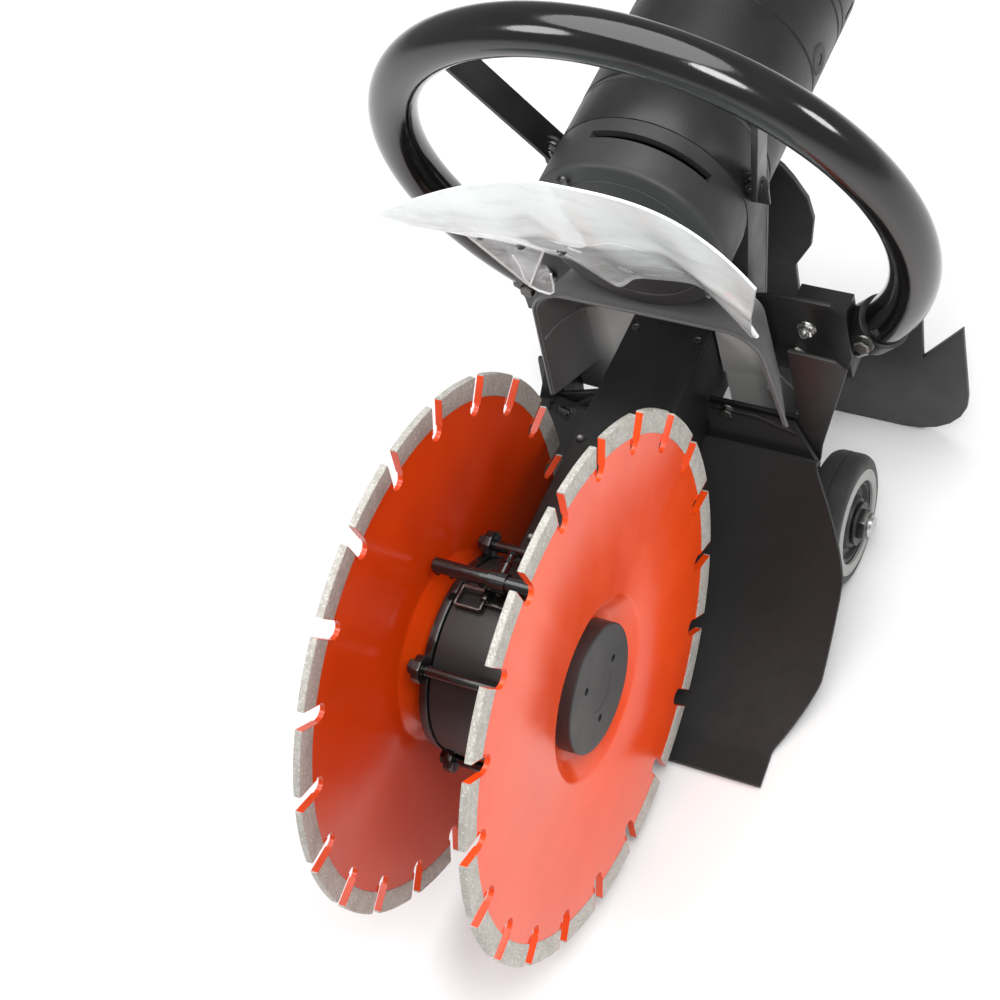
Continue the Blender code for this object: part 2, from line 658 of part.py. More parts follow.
def flap_station(share):
    """Half width and centre-line point of the flap; 0 is its top edge and 1 its edge on the floor."""
    top = Vector((0, 239.2 * mm, 162 * mm))
    bend = Vector((0, 238.6 * mm, 118 * mm))
    if share < 0.2:
        point = top.lerp(bend, share / 0.2)
        return 92 * mm + 14 * mm * share / 0.2, point
    swing = (share - 0.2) / 0.8
    angle = math.radians(-14.5 - 61 * swing)
    radius = (238.5 - 42 * swing ** 0.75) * mm
    point = Vector((0, radius * math.cos(angle), shaft_z + radius * math.sin(angle)))
    point.z = max(point.z + 3.2 * mm * (1 - swing), 1.8 * mm)
    bulge = math.sin(math.pi * min(1.0, 1.15 * swing))
    return (106 + 29 * bulge + 12 * swing) * mm, point


def make_mud_flap():
    rows = 16
    columns = [-1, -0.6, -0.31, 0, 0.31, 0.6, 1]
    bm = bmesh.new()
    grid = []
    for k in range(rows + 1):
        half, point = flap_station(k / rows)
        half = min(half, 136 * mm)
        grid.append([bm.verts.new((half * c, point.y, point.z)) for c in columns])
    for a, b in zip(grid, grid[1:]):
        for i in range(len(columns) - 1):
            bm.faces.new((a[i], a[i + 1], b[i + 1], b[i]))
    flap = add_piece("mud_flap", bm, "rubber")
    wall = flap.modifiers.new("wall", "SOLIDIFY")
    wall.thickness = sheet
    wall.offset = 0
    boolean(flap, box((-arm_half_width - 1 * mm, 220 * mm, arm_bottom - 1 * mm),
                      (arm_half_width + 1 * mm, 260 * mm, 180 * mm)))
    low_side = [(-20, 148), (-60, 140), (-76, 124), (-91, 128), (-91, 180), (-20, 180)]
    boolean(flap, prism([(x * mm, z * mm) for x, z in low_side], 220 * mm, 260 * mm, "Y"))


def hood_ring(share):
    """Outline of the hood at a depth; 0 is the flared front rim and 1 the back wall."""
    y = (232 + 38 * share) * mm
    half = (82 - 14 * share) * mm
    roof = (257 - 4 * share) * mm
    corner = (26 - 6 * share) * mm
    flare = (7 - 5 * share) * mm
    turn_over = arc((half - corner, roof - corner), corner, 0, 90, 5)
    points = [(half + flare, 166 * mm)] + turn_over
    points += [(-x, z) for x, z in reversed(turn_over)] + [(-half - flare, 140 * mm)]
    return [Vector((x, y, z)) for x, z in points]


def make_hood():
    rows = [0, 0.35, 0.7, 1]
    bm = bmesh.new()
    grid = [[bm.verts.new(point) for point in hood_ring(share)] for share in rows]
    for a, b in zip(grid, grid[1:]):
        for i in range(len(a) - 1):
            bm.faces.new((a[i], a[i + 1], b[i + 1], b[i]))
    bm.faces.new(grid[-1])
    hood = add_piece("hood", bm, "rubber")
    wall = hood.modifiers.new("wall", "SOLIDIFY")
    wall.thickness = 2.4 * mm
    wall.offset = 0
    boolean(hood, box((-arm_half_width - 1 * mm, 220 * mm, 130 * mm),
                      (arm_half_width + 1 * mm, 300 * mm, arm_top + 1 * mm)))


visor_lower = [
    (-120, 171, 386), (-91, 190, 365), (-65, 200, 351), (-49, 206, 339), (-32, 210, 331),
    (-19, 215, 322), (-6, 223, 295), (8, 223, 306), (22, 223, 310), (48, 228, 306),
    (63, 230, 290), (74, 231, 275), (80, 232, 258),
]


def visor_edges(share):
    """Lower and upper edge of the visor from its left (-1), where they meet, to its right (1)."""
    place = (share + 1) / 2 * (len(visor_lower) - 1)
    k = min(int(place), len(visor_lower) - 2)
    lower = Vector(visor_lower[k]).lerp(Vector(visor_lower[k + 1]), place - k) * mm
    droop = 58 * abs(share) ** (1.5 if share < 0 else 3.6)
    upper = Vector((122 * mm * share, 168 * mm, (452 - droop) * mm))
    return lower, upper


def make_visor():
    columns = 24
    rows = 4
    bm = bmesh.new()
    grid = []
    for i in range(columns + 1):
        share = -1 + 2 * i / columns
        low, high = visor_edges(share)
        column = []
        for k in range(rows + 1):
            point = low.lerp(high, k / rows)
            point.y -= min(10 * mm, 0.14 * (high - low).length) * math.sin(math.pi * k / rows)
            column.append(bm.verts.new(point))
        grid.append(column)
    for a, b in zip(grid, grid[1:]):
        for k in range(rows):
            bm.faces.new((a[k], b[k], b[k + 1], a[k + 1]))
    visor = add_piece("visor", bm, "clear_plastic")
    wall = visor.modifiers.new("wall", "SOLIDIFY")
    wall.thickness = 2 * mm
    wall.offset = 0


def make_rear_stand():
    corner = arc((112 * mm, 53 * mm), 53 * mm, -90, 0, 6)
    half = [(0, 0)] + corner
    wing = [(165, 131), (134, 90), (136, 132), (104, 104), (60, 110)]
    neck = [(46, 128), (47, 165), (61, 190), (66, 218), (64, 238), (56, 256), (50, 266), (40, 276)]
    half += [(x * mm, z * mm) for x, z in wing + neck]
    half.append((0, 310 * mm))
    outline = half + [(-x, z) for x, z in reversed(half[1:-1])]
    stand = add_piece("rear_stand", prism(outline, stand_y, stand_y + stand_thickness, "Y"), "sheet_grey",
                      smooth=False)
    boolean(stand, rod(motor_radius + gap, stand_y - 10 * mm, stand_y + 10 * mm, "Y", (0, 0, motor_z), 40))


def move_origin_to_middle():
    """The lengths above start at the blade shaft; the part's origin is the middle of its footprint."""
    middle = (motor_back + gland_length - blade_radius) / 2
    for item in list(parts.objects) + list(cutters.objects):
        item.location.y -= middle


make_blade_set()
make_drive_shaft()
make_idler()
make_rotor()
make_motor_shells()
make_rocker()
make_drum()
make_arm()
make_spray_bar()
make_handle()
make_wheels()
make_guard_plate()
make_mud_flap()
make_hood()
make_visor()
make_rear_stand()
move_origin_to_middle()
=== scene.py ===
import math

import bmesh
import bpy
from mathutils import Matrix, Vector


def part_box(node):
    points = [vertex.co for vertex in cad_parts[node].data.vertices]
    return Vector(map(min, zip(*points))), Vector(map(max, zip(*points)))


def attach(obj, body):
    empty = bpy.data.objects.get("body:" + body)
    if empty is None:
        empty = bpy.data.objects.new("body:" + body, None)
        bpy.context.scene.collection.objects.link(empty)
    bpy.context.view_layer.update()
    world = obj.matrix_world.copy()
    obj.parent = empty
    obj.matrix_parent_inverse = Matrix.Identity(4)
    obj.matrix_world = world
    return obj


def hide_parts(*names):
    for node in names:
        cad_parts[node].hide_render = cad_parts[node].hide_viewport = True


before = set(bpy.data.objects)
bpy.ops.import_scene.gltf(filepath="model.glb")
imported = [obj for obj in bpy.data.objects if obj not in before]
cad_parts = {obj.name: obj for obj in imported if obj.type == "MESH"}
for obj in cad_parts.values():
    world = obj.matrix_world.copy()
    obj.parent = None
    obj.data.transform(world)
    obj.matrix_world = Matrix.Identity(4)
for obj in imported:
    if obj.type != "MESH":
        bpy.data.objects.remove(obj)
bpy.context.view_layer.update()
print("frame loaded")

# Lengths are millimetres, measured along the arm from the blade shaft and up from the floor.
mm = 0.001
shaftLow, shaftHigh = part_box("blade_shaft")
shaft = (shaftLow + shaftHigh) / 2
casingLow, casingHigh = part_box("motor_casing")
motorAxis = (casingLow + casingHigh) / 2
tyreLow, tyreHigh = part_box("tyre_right")
wheelAxis = (tyreLow + tyreHigh) / 2


def at(x, y, z):
    return Vector((x * mm, shaft.y + y * mm, z * mm))


shaftZ = shaft.z / mm
motorZ = motorAxis.z / mm


# Materials

def newMaterial(name, base, roughness, metallic=0.0):
    material = bpy.data.materials.new(name)
    material.use_nodes = True
    shader = material.node_tree.nodes["Principled BSDF"]
    shader.inputs["Base Color"].default_value = (*base, 1)
    shader.inputs["Roughness"].default_value = roughness
    shader.inputs["Metallic"].default_value = metallic
    return material, shader


class Nodes:
    # a small helper for wiring one material
    def __init__(self, material, shader):
        self.tree = material.node_tree
        self.shader = shader
        self.coords = self.tree.nodes.new("ShaderNodeTexCoord").outputs["Object"]

    def link(self, source, target):
        self.tree.links.new(source, target)

    def stretched(self, amounts):
        mapping = self.tree.nodes.new("ShaderNodeMapping")
        mapping.vector_type = "POINT"
        mapping.inputs["Scale"].default_value = amounts
        self.link(self.coords, mapping.inputs["Vector"])
        return mapping.outputs["Vector"]

    def noise(self, scale, detail, vector=None):
        node = self.tree.nodes.new("ShaderNodeTexNoise")
        node.inputs["Scale"].default_value = scale
        node.inputs["Detail"].default_value = detail
        node.inputs["Roughness"].default_value = 0.55
        self.link(vector or self.coords, node.inputs["Vector"])
        return node.outputs["Fac"]

    def cells(self, scale, output="Distance"):
        node = self.tree.nodes.new("ShaderNodeTexVoronoi")
        node.inputs["Scale"].default_value = scale
        self.link(self.coords, node.inputs["Vector"])
        return node.outputs[output]

    def axis(self, name, unsigned=False):
        split = self.tree.nodes.new("ShaderNodeSeparateXYZ")
        self.link(self.coords, split.inputs["Vector"])
        if not unsigned:
            return split.outputs[name]
        size = self.tree.nodes.new("ShaderNodeMath")
        size.operation = "ABSOLUTE"
        self.link(split.outputs[name], size.inputs[0])
        return size.outputs[0]

    def span(self, value, fromLow, fromHigh, toLow, toHigh):
        node = self.tree.nodes.new("ShaderNodeMapRange")
        node.inputs["From Min"].default_value = fromLow
        node.inputs["From Max"].default_value = fromHigh
        node.inputs["To Min"].default_value = toLow
        node.inputs["To Max"].default_value = toHigh
        self.link(value, node.inputs["Value"])
        return node.outputs["Result"]

    def added(self, first, second):
        node = self.tree.nodes.new("ShaderNodeMath")
        node.operation = "ADD"
        node.use_clamp = True
        self.link(first, node.inputs[0])
        self.link(second, node.inputs[1])
        return node.outputs[0]

    def mix(self, factor, first, second):
        node = self.tree.nodes.new("ShaderNodeMix")
        node.data_type = "RGBA"
        self.link(factor, node.inputs["Factor"])
        for socket, colour in ((node.inputs["A"], first), (node.inputs["B"], second)):
            if isinstance(colour, tuple):
                socket.default_value = (*colour, 1)
            else:
                self.link(colour, socket)
        return node.outputs["Result"]

    def bump(self, height, strength, distance, under=None):
        node = self.tree.nodes.new("ShaderNodeBump")
        node.inputs["Strength"].default_value = strength
        node.inputs["Distance"].default_value = distance
        self.link(height, node.inputs["Height"])
        if under:
            self.link(under, node.inputs["Normal"])
        return node.outputs["Normal"]

    def colour(self, value):
        self.link(value, self.shader.inputs["Base Color"])

    def roughness(self, value):
        self.link(value, self.shader.inputs["Roughness"])

    def normal(self, value):
        self.link(value, self.shader.inputs["Normal"])


def bladeEnamel(name, settings):
    material, shader = newMaterial(name, settings["colour"], settings["roughness"])
    n = Nodes(material, shader)
    paint = n.mix(n.span(n.noise(9, 3), 0.35, 0.65, 0, 1), settings["colour"], settings["deep"])
    # painted shade: the left blade, lying in the right blade's shade, is mixed towards a darker colour
    leftBladeShade = n.span(n.axis("X"), -0.02, 0.02, 0.42, 0.0)
    n.colour(n.mix(leftBladeShade, paint, settings["leftShade"]))
    rough = settings["roughness"]
    n.roughness(n.span(n.noise(55, 5), 0.3, 0.7, rough - 0.03, rough + 0.05))
    n.normal(n.bump(n.noise(300, 2), 0.05, 0.0003))
    return material


def segmentMetal(name, settings):
    material, shader = newMaterial(name, settings["colour"], 0.5, settings["metallic"])
    n = Nodes(material, shader)
    grit = n.cells(settings["grit"])
    tint = n.mix(n.span(n.noise(120, 5), 0.3, 0.7, 0, 1), settings["colour"], settings["warm"])
    spots = n.span(n.cells(settings["grit"] * 0.6, output="Color"), 0.55, 0.9, 0, 1)
    n.colour(n.mix(spots, tint, settings["bright"]))
    n.roughness(n.span(grit, 0.0, 0.6, 0.3, 0.7))
    fine = n.bump(grit, 0.55, 0.0006)
    n.normal(n.bump(n.noise(700, 4), 0.4, 0.0004, fine))
    return material


def glossEnamel(name, settings):
    material, shader = newMaterial(name, settings["colour"], settings["roughness"])
    shader.inputs["Coat Weight"].default_value = settings["coat"]
    shader.inputs["Coat Roughness"].default_value = 0.06
    n = Nodes(material, shader)
    n.colour(n.mix(n.span(n.noise(14, 4), 0.35, 0.7, 0, 1), settings["colour"], settings["worn"]))
    n.roughness(n.span(n.noise(38, 5), 0.3, 0.75, settings["roughness"] * 0.7, settings["roughness"] * 1.5))
    n.normal(n.bump(n.noise(260, 2), 0.10, 0.0005))
    return material


def powderCoat(name, settings):
    material, shader = newMaterial(name, settings["colour"], settings["roughness"])
    n = Nodes(material, shader)
    dust = n.span(n.noise(11, 6), 0.45, 0.75, 0, 1)
    n.colour(n.mix(dust, settings["colour"], settings["worn"]))
    n.roughness(n.span(n.noise(30, 4), 0.3, 0.7, settings["roughness"] - 0.07, settings["roughness"] + 0.1))
    orange = n.bump(n.noise(settings["grain"], 2), 0.22, 0.0004)
    n.normal(n.bump(n.noise(settings["grain"] * 3, 2), 0.12, 0.0002, orange))
    return material


def rubberSheet(name, settings):
    material, shader = newMaterial(name, settings["colour"], settings["roughness"])
    shader.inputs["Sheen Weight"].default_value = settings["sheen"]
    shader.inputs["Specular IOR Level"].default_value = 0.3
    n = Nodes(material, shader)
    toneAndShade = n.mix(n.span(n.noise(7, 5), 0.4, 0.75, 0, 1), settings["colour"], settings["worn"])
    if "edge" in settings:
        # painted light and shade: the back wall keeps the pale colour as if lit, while the rim and the side
        # walls take the darker edge colour as painted shade
        front = n.span(n.axis("Y"), settings["back"] - 0.012, settings["back"], 1, 0)
        toneAndShade = n.mix(front, toneAndShade, settings["edge"])
        toneAndShade = n.mix(n.span(n.axis("X", True), 0.052, 0.072, 0, 1), toneAndShade, settings["edge"])
    n.colour(toneAndShade)
    rough = settings["roughness"]
    n.roughness(n.span(n.noise(60, 4), 0.3, 0.7, rough - 0.1, rough + 0.08))
    n.normal(n.bump(n.noise(650, 3), 0.25, 0.0003))
    return material


def turnedSteel(name, settings):
    material, shader = newMaterial(name, settings["colour"], settings["roughness"], 1.0)
    n = Nodes(material, shader)
    streaks = n.noise(120, 3, n.stretched(settings["stretch"]))
    n.colour(n.mix(n.span(n.noise(25, 4), 0.35, 0.7, 0, 1), settings["colour"], settings["dull"]))
    n.roughness(n.span(streaks, 0.3, 0.7, settings["roughness"] - 0.08, settings["roughness"] + 0.14))
    n.normal(n.bump(streaks, 0.12, 0.0002))
    return material


def clearSheet(name, settings):
    material, shader = newMaterial(name, settings["colour"], settings["roughness"])
    shader.inputs["Transmission Weight"].default_value = settings["transmission"]
    shader.inputs["IOR"].default_value = 1.42
    shader.inputs["Coat Weight"].default_value = 0.6
    shader.inputs["Coat Roughness"].default_value = 0.04
    n = Nodes(material, shader)
    # painted reflection: the sheet is made more opaque towards its upper edge, standing for a lamp's whitish
    # reflection there; the noise adds uneven haze, partly painted glints
    paintedReflectionRise = n.span(n.axis("Z"), 0.27, 0.385, settings["alphaLow"], settings["alphaHigh"])
    hazeAndGlints = n.span(n.noise(48, 5, n.stretched((1.0, 2.2, 2.2))), 0.3, 0.7, -0.13, 0.13)
    n.link(n.added(paintedReflectionRise, hazeAndGlints), shader.inputs["Alpha"])
    n.roughness(n.span(n.noise(40, 3), 0.3, 0.7, 0.04, 0.16))
    n.normal(n.bump(n.noise(26, 2), 0.35, 0.004))
    return material


finishes = {
    "bladePaint": bladeEnamel("blade_orange_enamel", {
        # the darkest colour here is painted shade for the left blade
        "colour": (0.84, 0.072, 0.004), "deep": (0.74, 0.055, 0.003), "leftShade": (0.22, 0.012, 0.001),
        "roughness": 0.20}),
    "segments": segmentMetal("sintered_segment", {
        "colour": (0.50, 0.48, 0.44), "warm": (0.38, 0.36, 0.32), "bright": (0.62, 0.61, 0.58),
        "metallic": 0.45, "grit": 1500}),
    "glossBlack": glossEnamel("gloss_black_enamel", {
        "colour": (0.004, 0.004, 0.004), "worn": (0.008, 0.008, 0.008), "roughness": 0.13, "coat": 0.4}),
    "satinBlack": powderCoat("satin_black_powder_coat", {
        "colour": (0.010, 0.010, 0.010), "worn": (0.018, 0.018, 0.018), "roughness": 0.4, "grain": 420}),
    "flangeBlack": powderCoat("black_oxide", {
        "colour": (0.022, 0.022, 0.022), "worn": (0.036, 0.036, 0.036), "roughness": 0.45, "grain": 700}),
    "standGrey": powderCoat("dark_grey_powder_coat", {
        "colour": (0.030, 0.030, 0.031), "worn": (0.048, 0.048, 0.048), "roughness": 0.45, "grain": 420}),
    "rubber": rubberSheet("black_sheet_rubber", {
        "colour": (0.010, 0.010, 0.010), "worn": (0.018, 0.018, 0.018), "roughness": 0.62, "sheen": 0.04}),
    "hoodRubber": rubberSheet("grey_moulded_rubber", {
        # the pale colour is painted light on the hood's back wall; the edge colour is painted shade on its
        # rim and side walls
        "colour": (0.50, 0.50, 0.49), "worn": (0.62, 0.62, 0.60), "edge": (0.11, 0.11, 0.11), "back": 0.094,
        "roughness": 0.4, "sheen": 0.1}),
    "tyreSide": rubberSheet("grey_wheel_side", {
        "colour": (0.34, 0.34, 0.33), "worn": (0.22, 0.22, 0.21), "roughness": 0.55, "sheen": 0.1}),
    "tyre": rubberSheet("tyre_tread", {
        "colour": (0.02, 0.02, 0.02), "worn": (0.06, 0.06, 0.055), "roughness": 0.7, "sheen": 0.1}),
    "steel": turnedSteel("turned_steel", {
        "colour": (0.55, 0.55, 0.56), "dull": (0.40, 0.40, 0.40), "roughness": 0.3, "stretch": (1, 30, 30)}),
    "darkSteel": turnedSteel("dark_plated_steel", {
        "colour": (0.10, 0.10, 0.10), "dull": (0.22, 0.22, 0.21), "roughness": 0.32, "stretch": (1, 12, 12)}),
    "zinc": turnedSteel("zinc_plated_screw", {
        "colour": (0.70, 0.70, 0.68), "dull": (0.5, 0.5, 0.47), "roughness": 0.25, "stretch": (1, 8, 8)}),
    "copper": turnedSteel("copper_bars", {
        "colour": (0.75, 0.36, 0.20), "dull": (0.5, 0.22, 0.12), "roughness": 0.3, "stretch": (30, 1, 30)}),
    "carbon": powderCoat("pressed_carbon", {
        "colour": (0.03, 0.03, 0.03), "worn": (0.05, 0.05, 0.05), "roughness": 0.6, "grain": 900}),
    "visor": clearSheet("clear_flexible_sheet", {
        "colour": (0.88, 0.96, 0.96), "roughness": 0.08, "transmission": 0.0,
        "alphaLow": 0.42, "alphaHigh": 1.0}),
    # near-opaque white: painted highlight on the sheet's edges and folds
    "visorEdgeHighlight": clearSheet("clear_sheet_edge", {
        "colour": (0.97, 0.97, 0.97), "roughness": 0.1, "transmission": 0.1,
        "alphaLow": 0.95, "alphaHigh": 1.0}),
    "visorClear": clearSheet("clear_thin_sheet", {
        "colour": (0.93, 0.94, 0.94), "roughness": 0.06, "transmission": 0.6,
        "alphaLow": 0.15, "alphaHigh": 0.35}),
}
print("materials made")


# Making pieces

def outward(bm):
    bmesh.ops.remove_doubles(bm, verts=bm.verts, dist=1e-6)
    bmesh.ops.recalc_face_normals(bm, faces=bm.faces)
    return bm


def soften(bm, width, segments=2, angle=32):
    # round every edge that is sharper than the angle
    edges = [e for e in bm.edges if e.is_manifold and e.calc_face_angle(0) > math.radians(angle)]
    bmesh.ops.bevel(bm, geom=edges, offset=width, offset_type="OFFSET", affect="EDGES",
                    segments=segments, profile=0.5, material=-1, clamp_overlap=True)
    return bm


def shade(mesh):
    # smooth everywhere but across the real edges
    mesh.shade_smooth()
    mesh.set_sharp_from_angle(angle=math.radians(35))


def makePiece(name, bm, finish, body, replaces=()):
    mesh = bpy.data.meshes.new(name)
    bm.to_mesh(mesh)
    bm.free()
    shade(mesh)
    mesh.materials.append(finishes[finish])
    piece = bpy.data.objects.new(name, mesh)
    bpy.context.scene.collection.objects.link(piece)
    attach(piece, body)
    if replaces:
        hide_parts(*replaces)
    return piece


def axisTurn(axis):
    if axis == "X":
        return Matrix.Rotation(math.radians(90), 4, "Y")
    if axis == "Y":
        return Matrix.Rotation(math.radians(-90), 4, "X")
    return Matrix.Identity(4)


def spun(profile, axis, centre, steps=72):
    # profile is (radius, distance) in millimetres round a closed outline
    bm = bmesh.new()
    verts = [bm.verts.new((r * mm, 0, d * mm)) for r, d in profile]
    edges = [bm.edges.new(pair) for pair in zip(verts, verts[1:])]
    if profile[0][0] > 0 or profile[-1][0] > 0:
        edges.append(bm.edges.new((verts[-1], verts[0])))
    bmesh.ops.spin(bm, geom=verts + edges, angle=math.tau, steps=steps, axis=(0, 0, 1), use_merge=True)
    bmesh.ops.transform(bm, matrix=Matrix.Translation(centre) @ axisTurn(axis), verts=bm.verts)
    return outward(bm)


def alongX(x, axisPoint):
    return Vector((x * mm, axisPoint.y, axisPoint.z))


def alongY(axisPoint):
    return Vector((axisPoint.x, shaft.y, axisPoint.z))


def slab(points, depth):
    # points are world positions round a flat outline; depth is the vector through the slab
    bm = bmesh.new()
    face = bm.faces.new([bm.verts.new(p) for p in points])
    made = bmesh.ops.extrude_face_region(bm, geom=[face])
    verts = [g for g in made["geom"] if isinstance(g, bmesh.types.BMVert)]
    bmesh.ops.translate(bm, verts=verts, vec=depth)
    return outward(bm)


def arcPoints(centre, radius, start, end, steps):
    step = (end - start) / steps
    return [(centre[0] + radius * math.cos(math.radians(start + step * k)),
             centre[1] + radius * math.sin(math.radians(start + step * k))) for k in range(steps + 1)]


def tubeAlong(points, radius, sides):
    # sweep a circle along points, turning it with the path
    bm = bmesh.new()
    rings = []
    normal = None
    for k, point in enumerate(points):
        ahead = points[min(k + 1, len(points) - 1)] - points[max(k - 1, 0)]
        ahead.normalize()
        if normal is None:
            normal = ahead.orthogonal().normalized()
        normal = (normal - ahead * normal.dot(ahead)).normalized()
        across = ahead.cross(normal)
        rings.append([bm.verts.new(point + (normal * math.cos(t) + across * math.sin(t)) * radius)
                      for t in (math.tau * i / sides for i in range(sides))])
    for a, b in zip(rings, rings[1:]):
        for i in range(sides):
            bm.faces.new((a[i], a[(i + 1) % sides], b[(i + 1) % sides], b[i]))
    bm.faces.new(rings[0][::-1])
    bm.faces.new(rings[-1])
    bmesh.ops.recalc_face_normals(bm, faces=bm.faces)
    return bm


def nodeCopy(node):
    bm = bmesh.new()
    bm.from_mesh(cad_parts[node].data)
    bmesh.ops.remove_doubles(bm, verts=bm.verts, dist=2e-5)
    bmesh.ops.dissolve_limit(bm, angle_limit=math.radians(0.6), verts=bm.verts, edges=bm.edges)
    return bm


def refined(node, finish, body, width=0.8, segments=2, angle=32):
    bm = soften(nodeCopy(node), width * mm, segments, angle)
    return makePiece(node + "_finished", bm, finish, body, [node])


def joinInto(target, source):
    mesh = bpy.data.meshes.new("part")
    source.to_mesh(mesh)
    source.free()
    target.from_mesh(mesh)
    bpy.data.meshes.remove(mesh)
    return target


def carve(piece, cutter):
    # cut a finished piece with a bmesh and keep the result in its mesh
    mesh = bpy.data.meshes.new("cutter")
    cutter.to_mesh(mesh)
    cutter.free()
    tool = bpy.data.objects.new("cutter", mesh)
    bpy.context.scene.collection.objects.link(tool)
    step = piece.modifiers.new("carve", "BOOLEAN")
    step.operation = "DIFFERENCE"
    step.solver = "EXACT"
    step.object = tool
    depsgraph = bpy.context.evaluated_depsgraph_get()
    result = bpy.data.meshes.new_from_object(piece.evaluated_get(depsgraph))
    piece.modifiers.clear()
    piece.data = result
    bpy.data.objects.remove(tool, do_unlink=True)
    shade(result)


def addCone(bm, radius1, radius2, low, high, sides):
    bmesh.ops.create_cone(bm, cap_ends=True, segments=sides, radius1=radius1, radius2=radius2,
                          depth=high - low, matrix=Matrix.Translation((0, 0, (low + high) / 2)))


def addBore(bm, centre, axis, radius, depth, sides=32):
    # a plain cylinder round the centre, for cutting a hole
    bmesh.ops.create_cone(bm, cap_ends=True, segments=sides, radius1=radius * mm, radius2=radius * mm,
                          depth=depth * mm, matrix=Matrix.Translation(centre) @ axisTurn(axis))


def pointed(bm, centre, direction):
    # turn what stands on Z to the direction, and move it to the centre
    turn = Vector((0, 0, 1)).rotation_difference(Vector(direction)).to_matrix().to_4x4()
    bmesh.ops.transform(bm, matrix=Matrix.Translation(centre) @ turn, verts=bm.verts)
    return bm


def hexagonScrew(centre, direction, settings):
    # washer, hexagon head with a domed top, and the end of the thread that stands out of it
    head, tall = settings["head"] * mm, settings["tall"] * mm
    bm = bmesh.new()
    stages = [(head * 1.28, head * 1.2, 0, 1.2 * mm, 28), (head, head, 1.2 * mm, tall, 6),
              (head, head * 0.8, tall, tall + 0.9 * mm, 6)]
    if "thread" in settings:
        stages.append((head * 0.5, head * 0.45, tall, tall + settings["thread"] * mm, 16))
    for stage in stages:
        addCone(bm, *stage)
    return pointed(bm, centre, direction)


def socketScrew(centre, direction, settings):
    # round head with a socket sunk into it
    head, tall = settings["head"] * mm, settings["tall"] * mm
    bm = bmesh.new()
    addCone(bm, head, head * 0.92, 0, tall, 28)
    top = max(bm.faces, key=lambda f: f.calc_center_median().z)
    bmesh.ops.inset_region(bm, faces=[top], thickness=head * 0.42)
    bmesh.ops.translate(bm, verts=top.verts, vec=(0, 0, -tall * 0.6))
    return pointed(bm, centre, direction)


# Blades

bladeSet = {"halfCore": 1.7, "halfSegment": 2.3, "rim": 175.0, "seat": 160.0, "gulletBottom": 149.0,
            "gulletWidth": 11.5, "count": 20, "phase": 10.5, "dish": 12.0,
            "dishOuter": 60.0, "dishInner": 50.0, "bore": 12.3, "middle": 53.3}


def atGullet(bm, k):
    # turn what stands above the shaft's middle to the place of gullet k
    angle = math.radians(bladeSet["phase"] + 360 / bladeSet["count"] * k)
    bmesh.ops.rotate(bm, cent=(0, 0, 0), matrix=Matrix.Rotation(angle, 3, "X"), verts=bm.verts)
    bmesh.ops.translate(bm, verts=bm.verts, vec=(0, shaft.y, shaft.z))
    return bm


def gulletTools(side):
    s = bladeSet
    half = s["gulletWidth"] / 2
    tools = bmesh.new()
    for k in range(s["count"]):
        outline = arcPoints((0, s["gulletBottom"] + half), half, 180, 360, 12) + [(half, 200), (-half, 200)]
        bm = slab([Vector(((side * s["middle"] - 8) * mm, y * mm, z * mm)) for y, z in outline],
                  Vector((16 * mm, 0, 0)))
        joinInto(tools, atGullet(bm, k))
    return tools


def makeBlade(name, side):
    s = bladeSet
    c, g = s["halfCore"], s["halfSegment"]
    x0 = side * s["middle"]
    seat, outer, inner, dish = s["seat"], s["dishOuter"], s["dishInner"], s["dish"]
    core = [(seat + 0.4, c), (seat + 0.4, -c), (outer + 3, -c), (outer + 0.4, -c - 0.8),
            (inner + 1.6, -c - dish + 1.2), (inner - 1.0, -c - dish), (s["bore"], -c - dish),
            (s["bore"], c - dish), (inner - 2.6, c - dish), (inner - 0.6, c - dish + 0.8),
            (outer - 1.2, c - 0.8), (outer + 1.2, c)]
    bm = spun([(r, side * d) for r, d in core], "X", alongX(x0, shaft), 180)
    piece = makePiece(f"blade_{name}_core", bm, "bladePaint", "blade_set",
                      [f"blade_{name}"])
    carve(piece, gulletTools(side))
    rim = s["rim"]
    ring = [(rim - 0.5, g), (rim, g - 0.5), (rim, -g + 0.5), (rim - 0.5, -g),
            (seat + 1.2, -g), (seat + 0.5, -g + 0.4), (seat + 0.5, g - 0.4), (seat + 1.2, g)]
    bm = spun([(r, side * d) for r, d in ring], "X", alongX(x0, shaft), 240)
    segments = makePiece(f"blade_{name}_segments", bm, "segments", "blade_set")
    carve(segments, gulletTools(side))
    lining = bmesh.new()
    half = s["gulletWidth"] / 2
    for k in range(2 * s["count"]):
        # the enamel covers both walls of each gullet
        wall = 1 if k % 2 else -1
        outline = [(half - 0.05, seat - 4), (half + 0.25, seat - 4), (half + 0.25, rim - 1.2),
                   (half - 0.05, rim - 1.2)]
        bm = slab([Vector((x0 * mm - (g + 0.04) * mm, wall * y * mm, z * mm)) for y, z in outline],
                  Vector(((2 * g + 0.08) * mm, 0, 0)))
        joinInto(lining, atGullet(bm, k // 2))
    makePiece(f"blade_{name}_gullet_enamel", lining, "bladePaint", "blade_set")


flangeSet = {"radius": 42.0, "face": 2.5, "floor": -10.0, "bore": 12.3, "pinCircle": 22.0, "pinHole": 2.6}


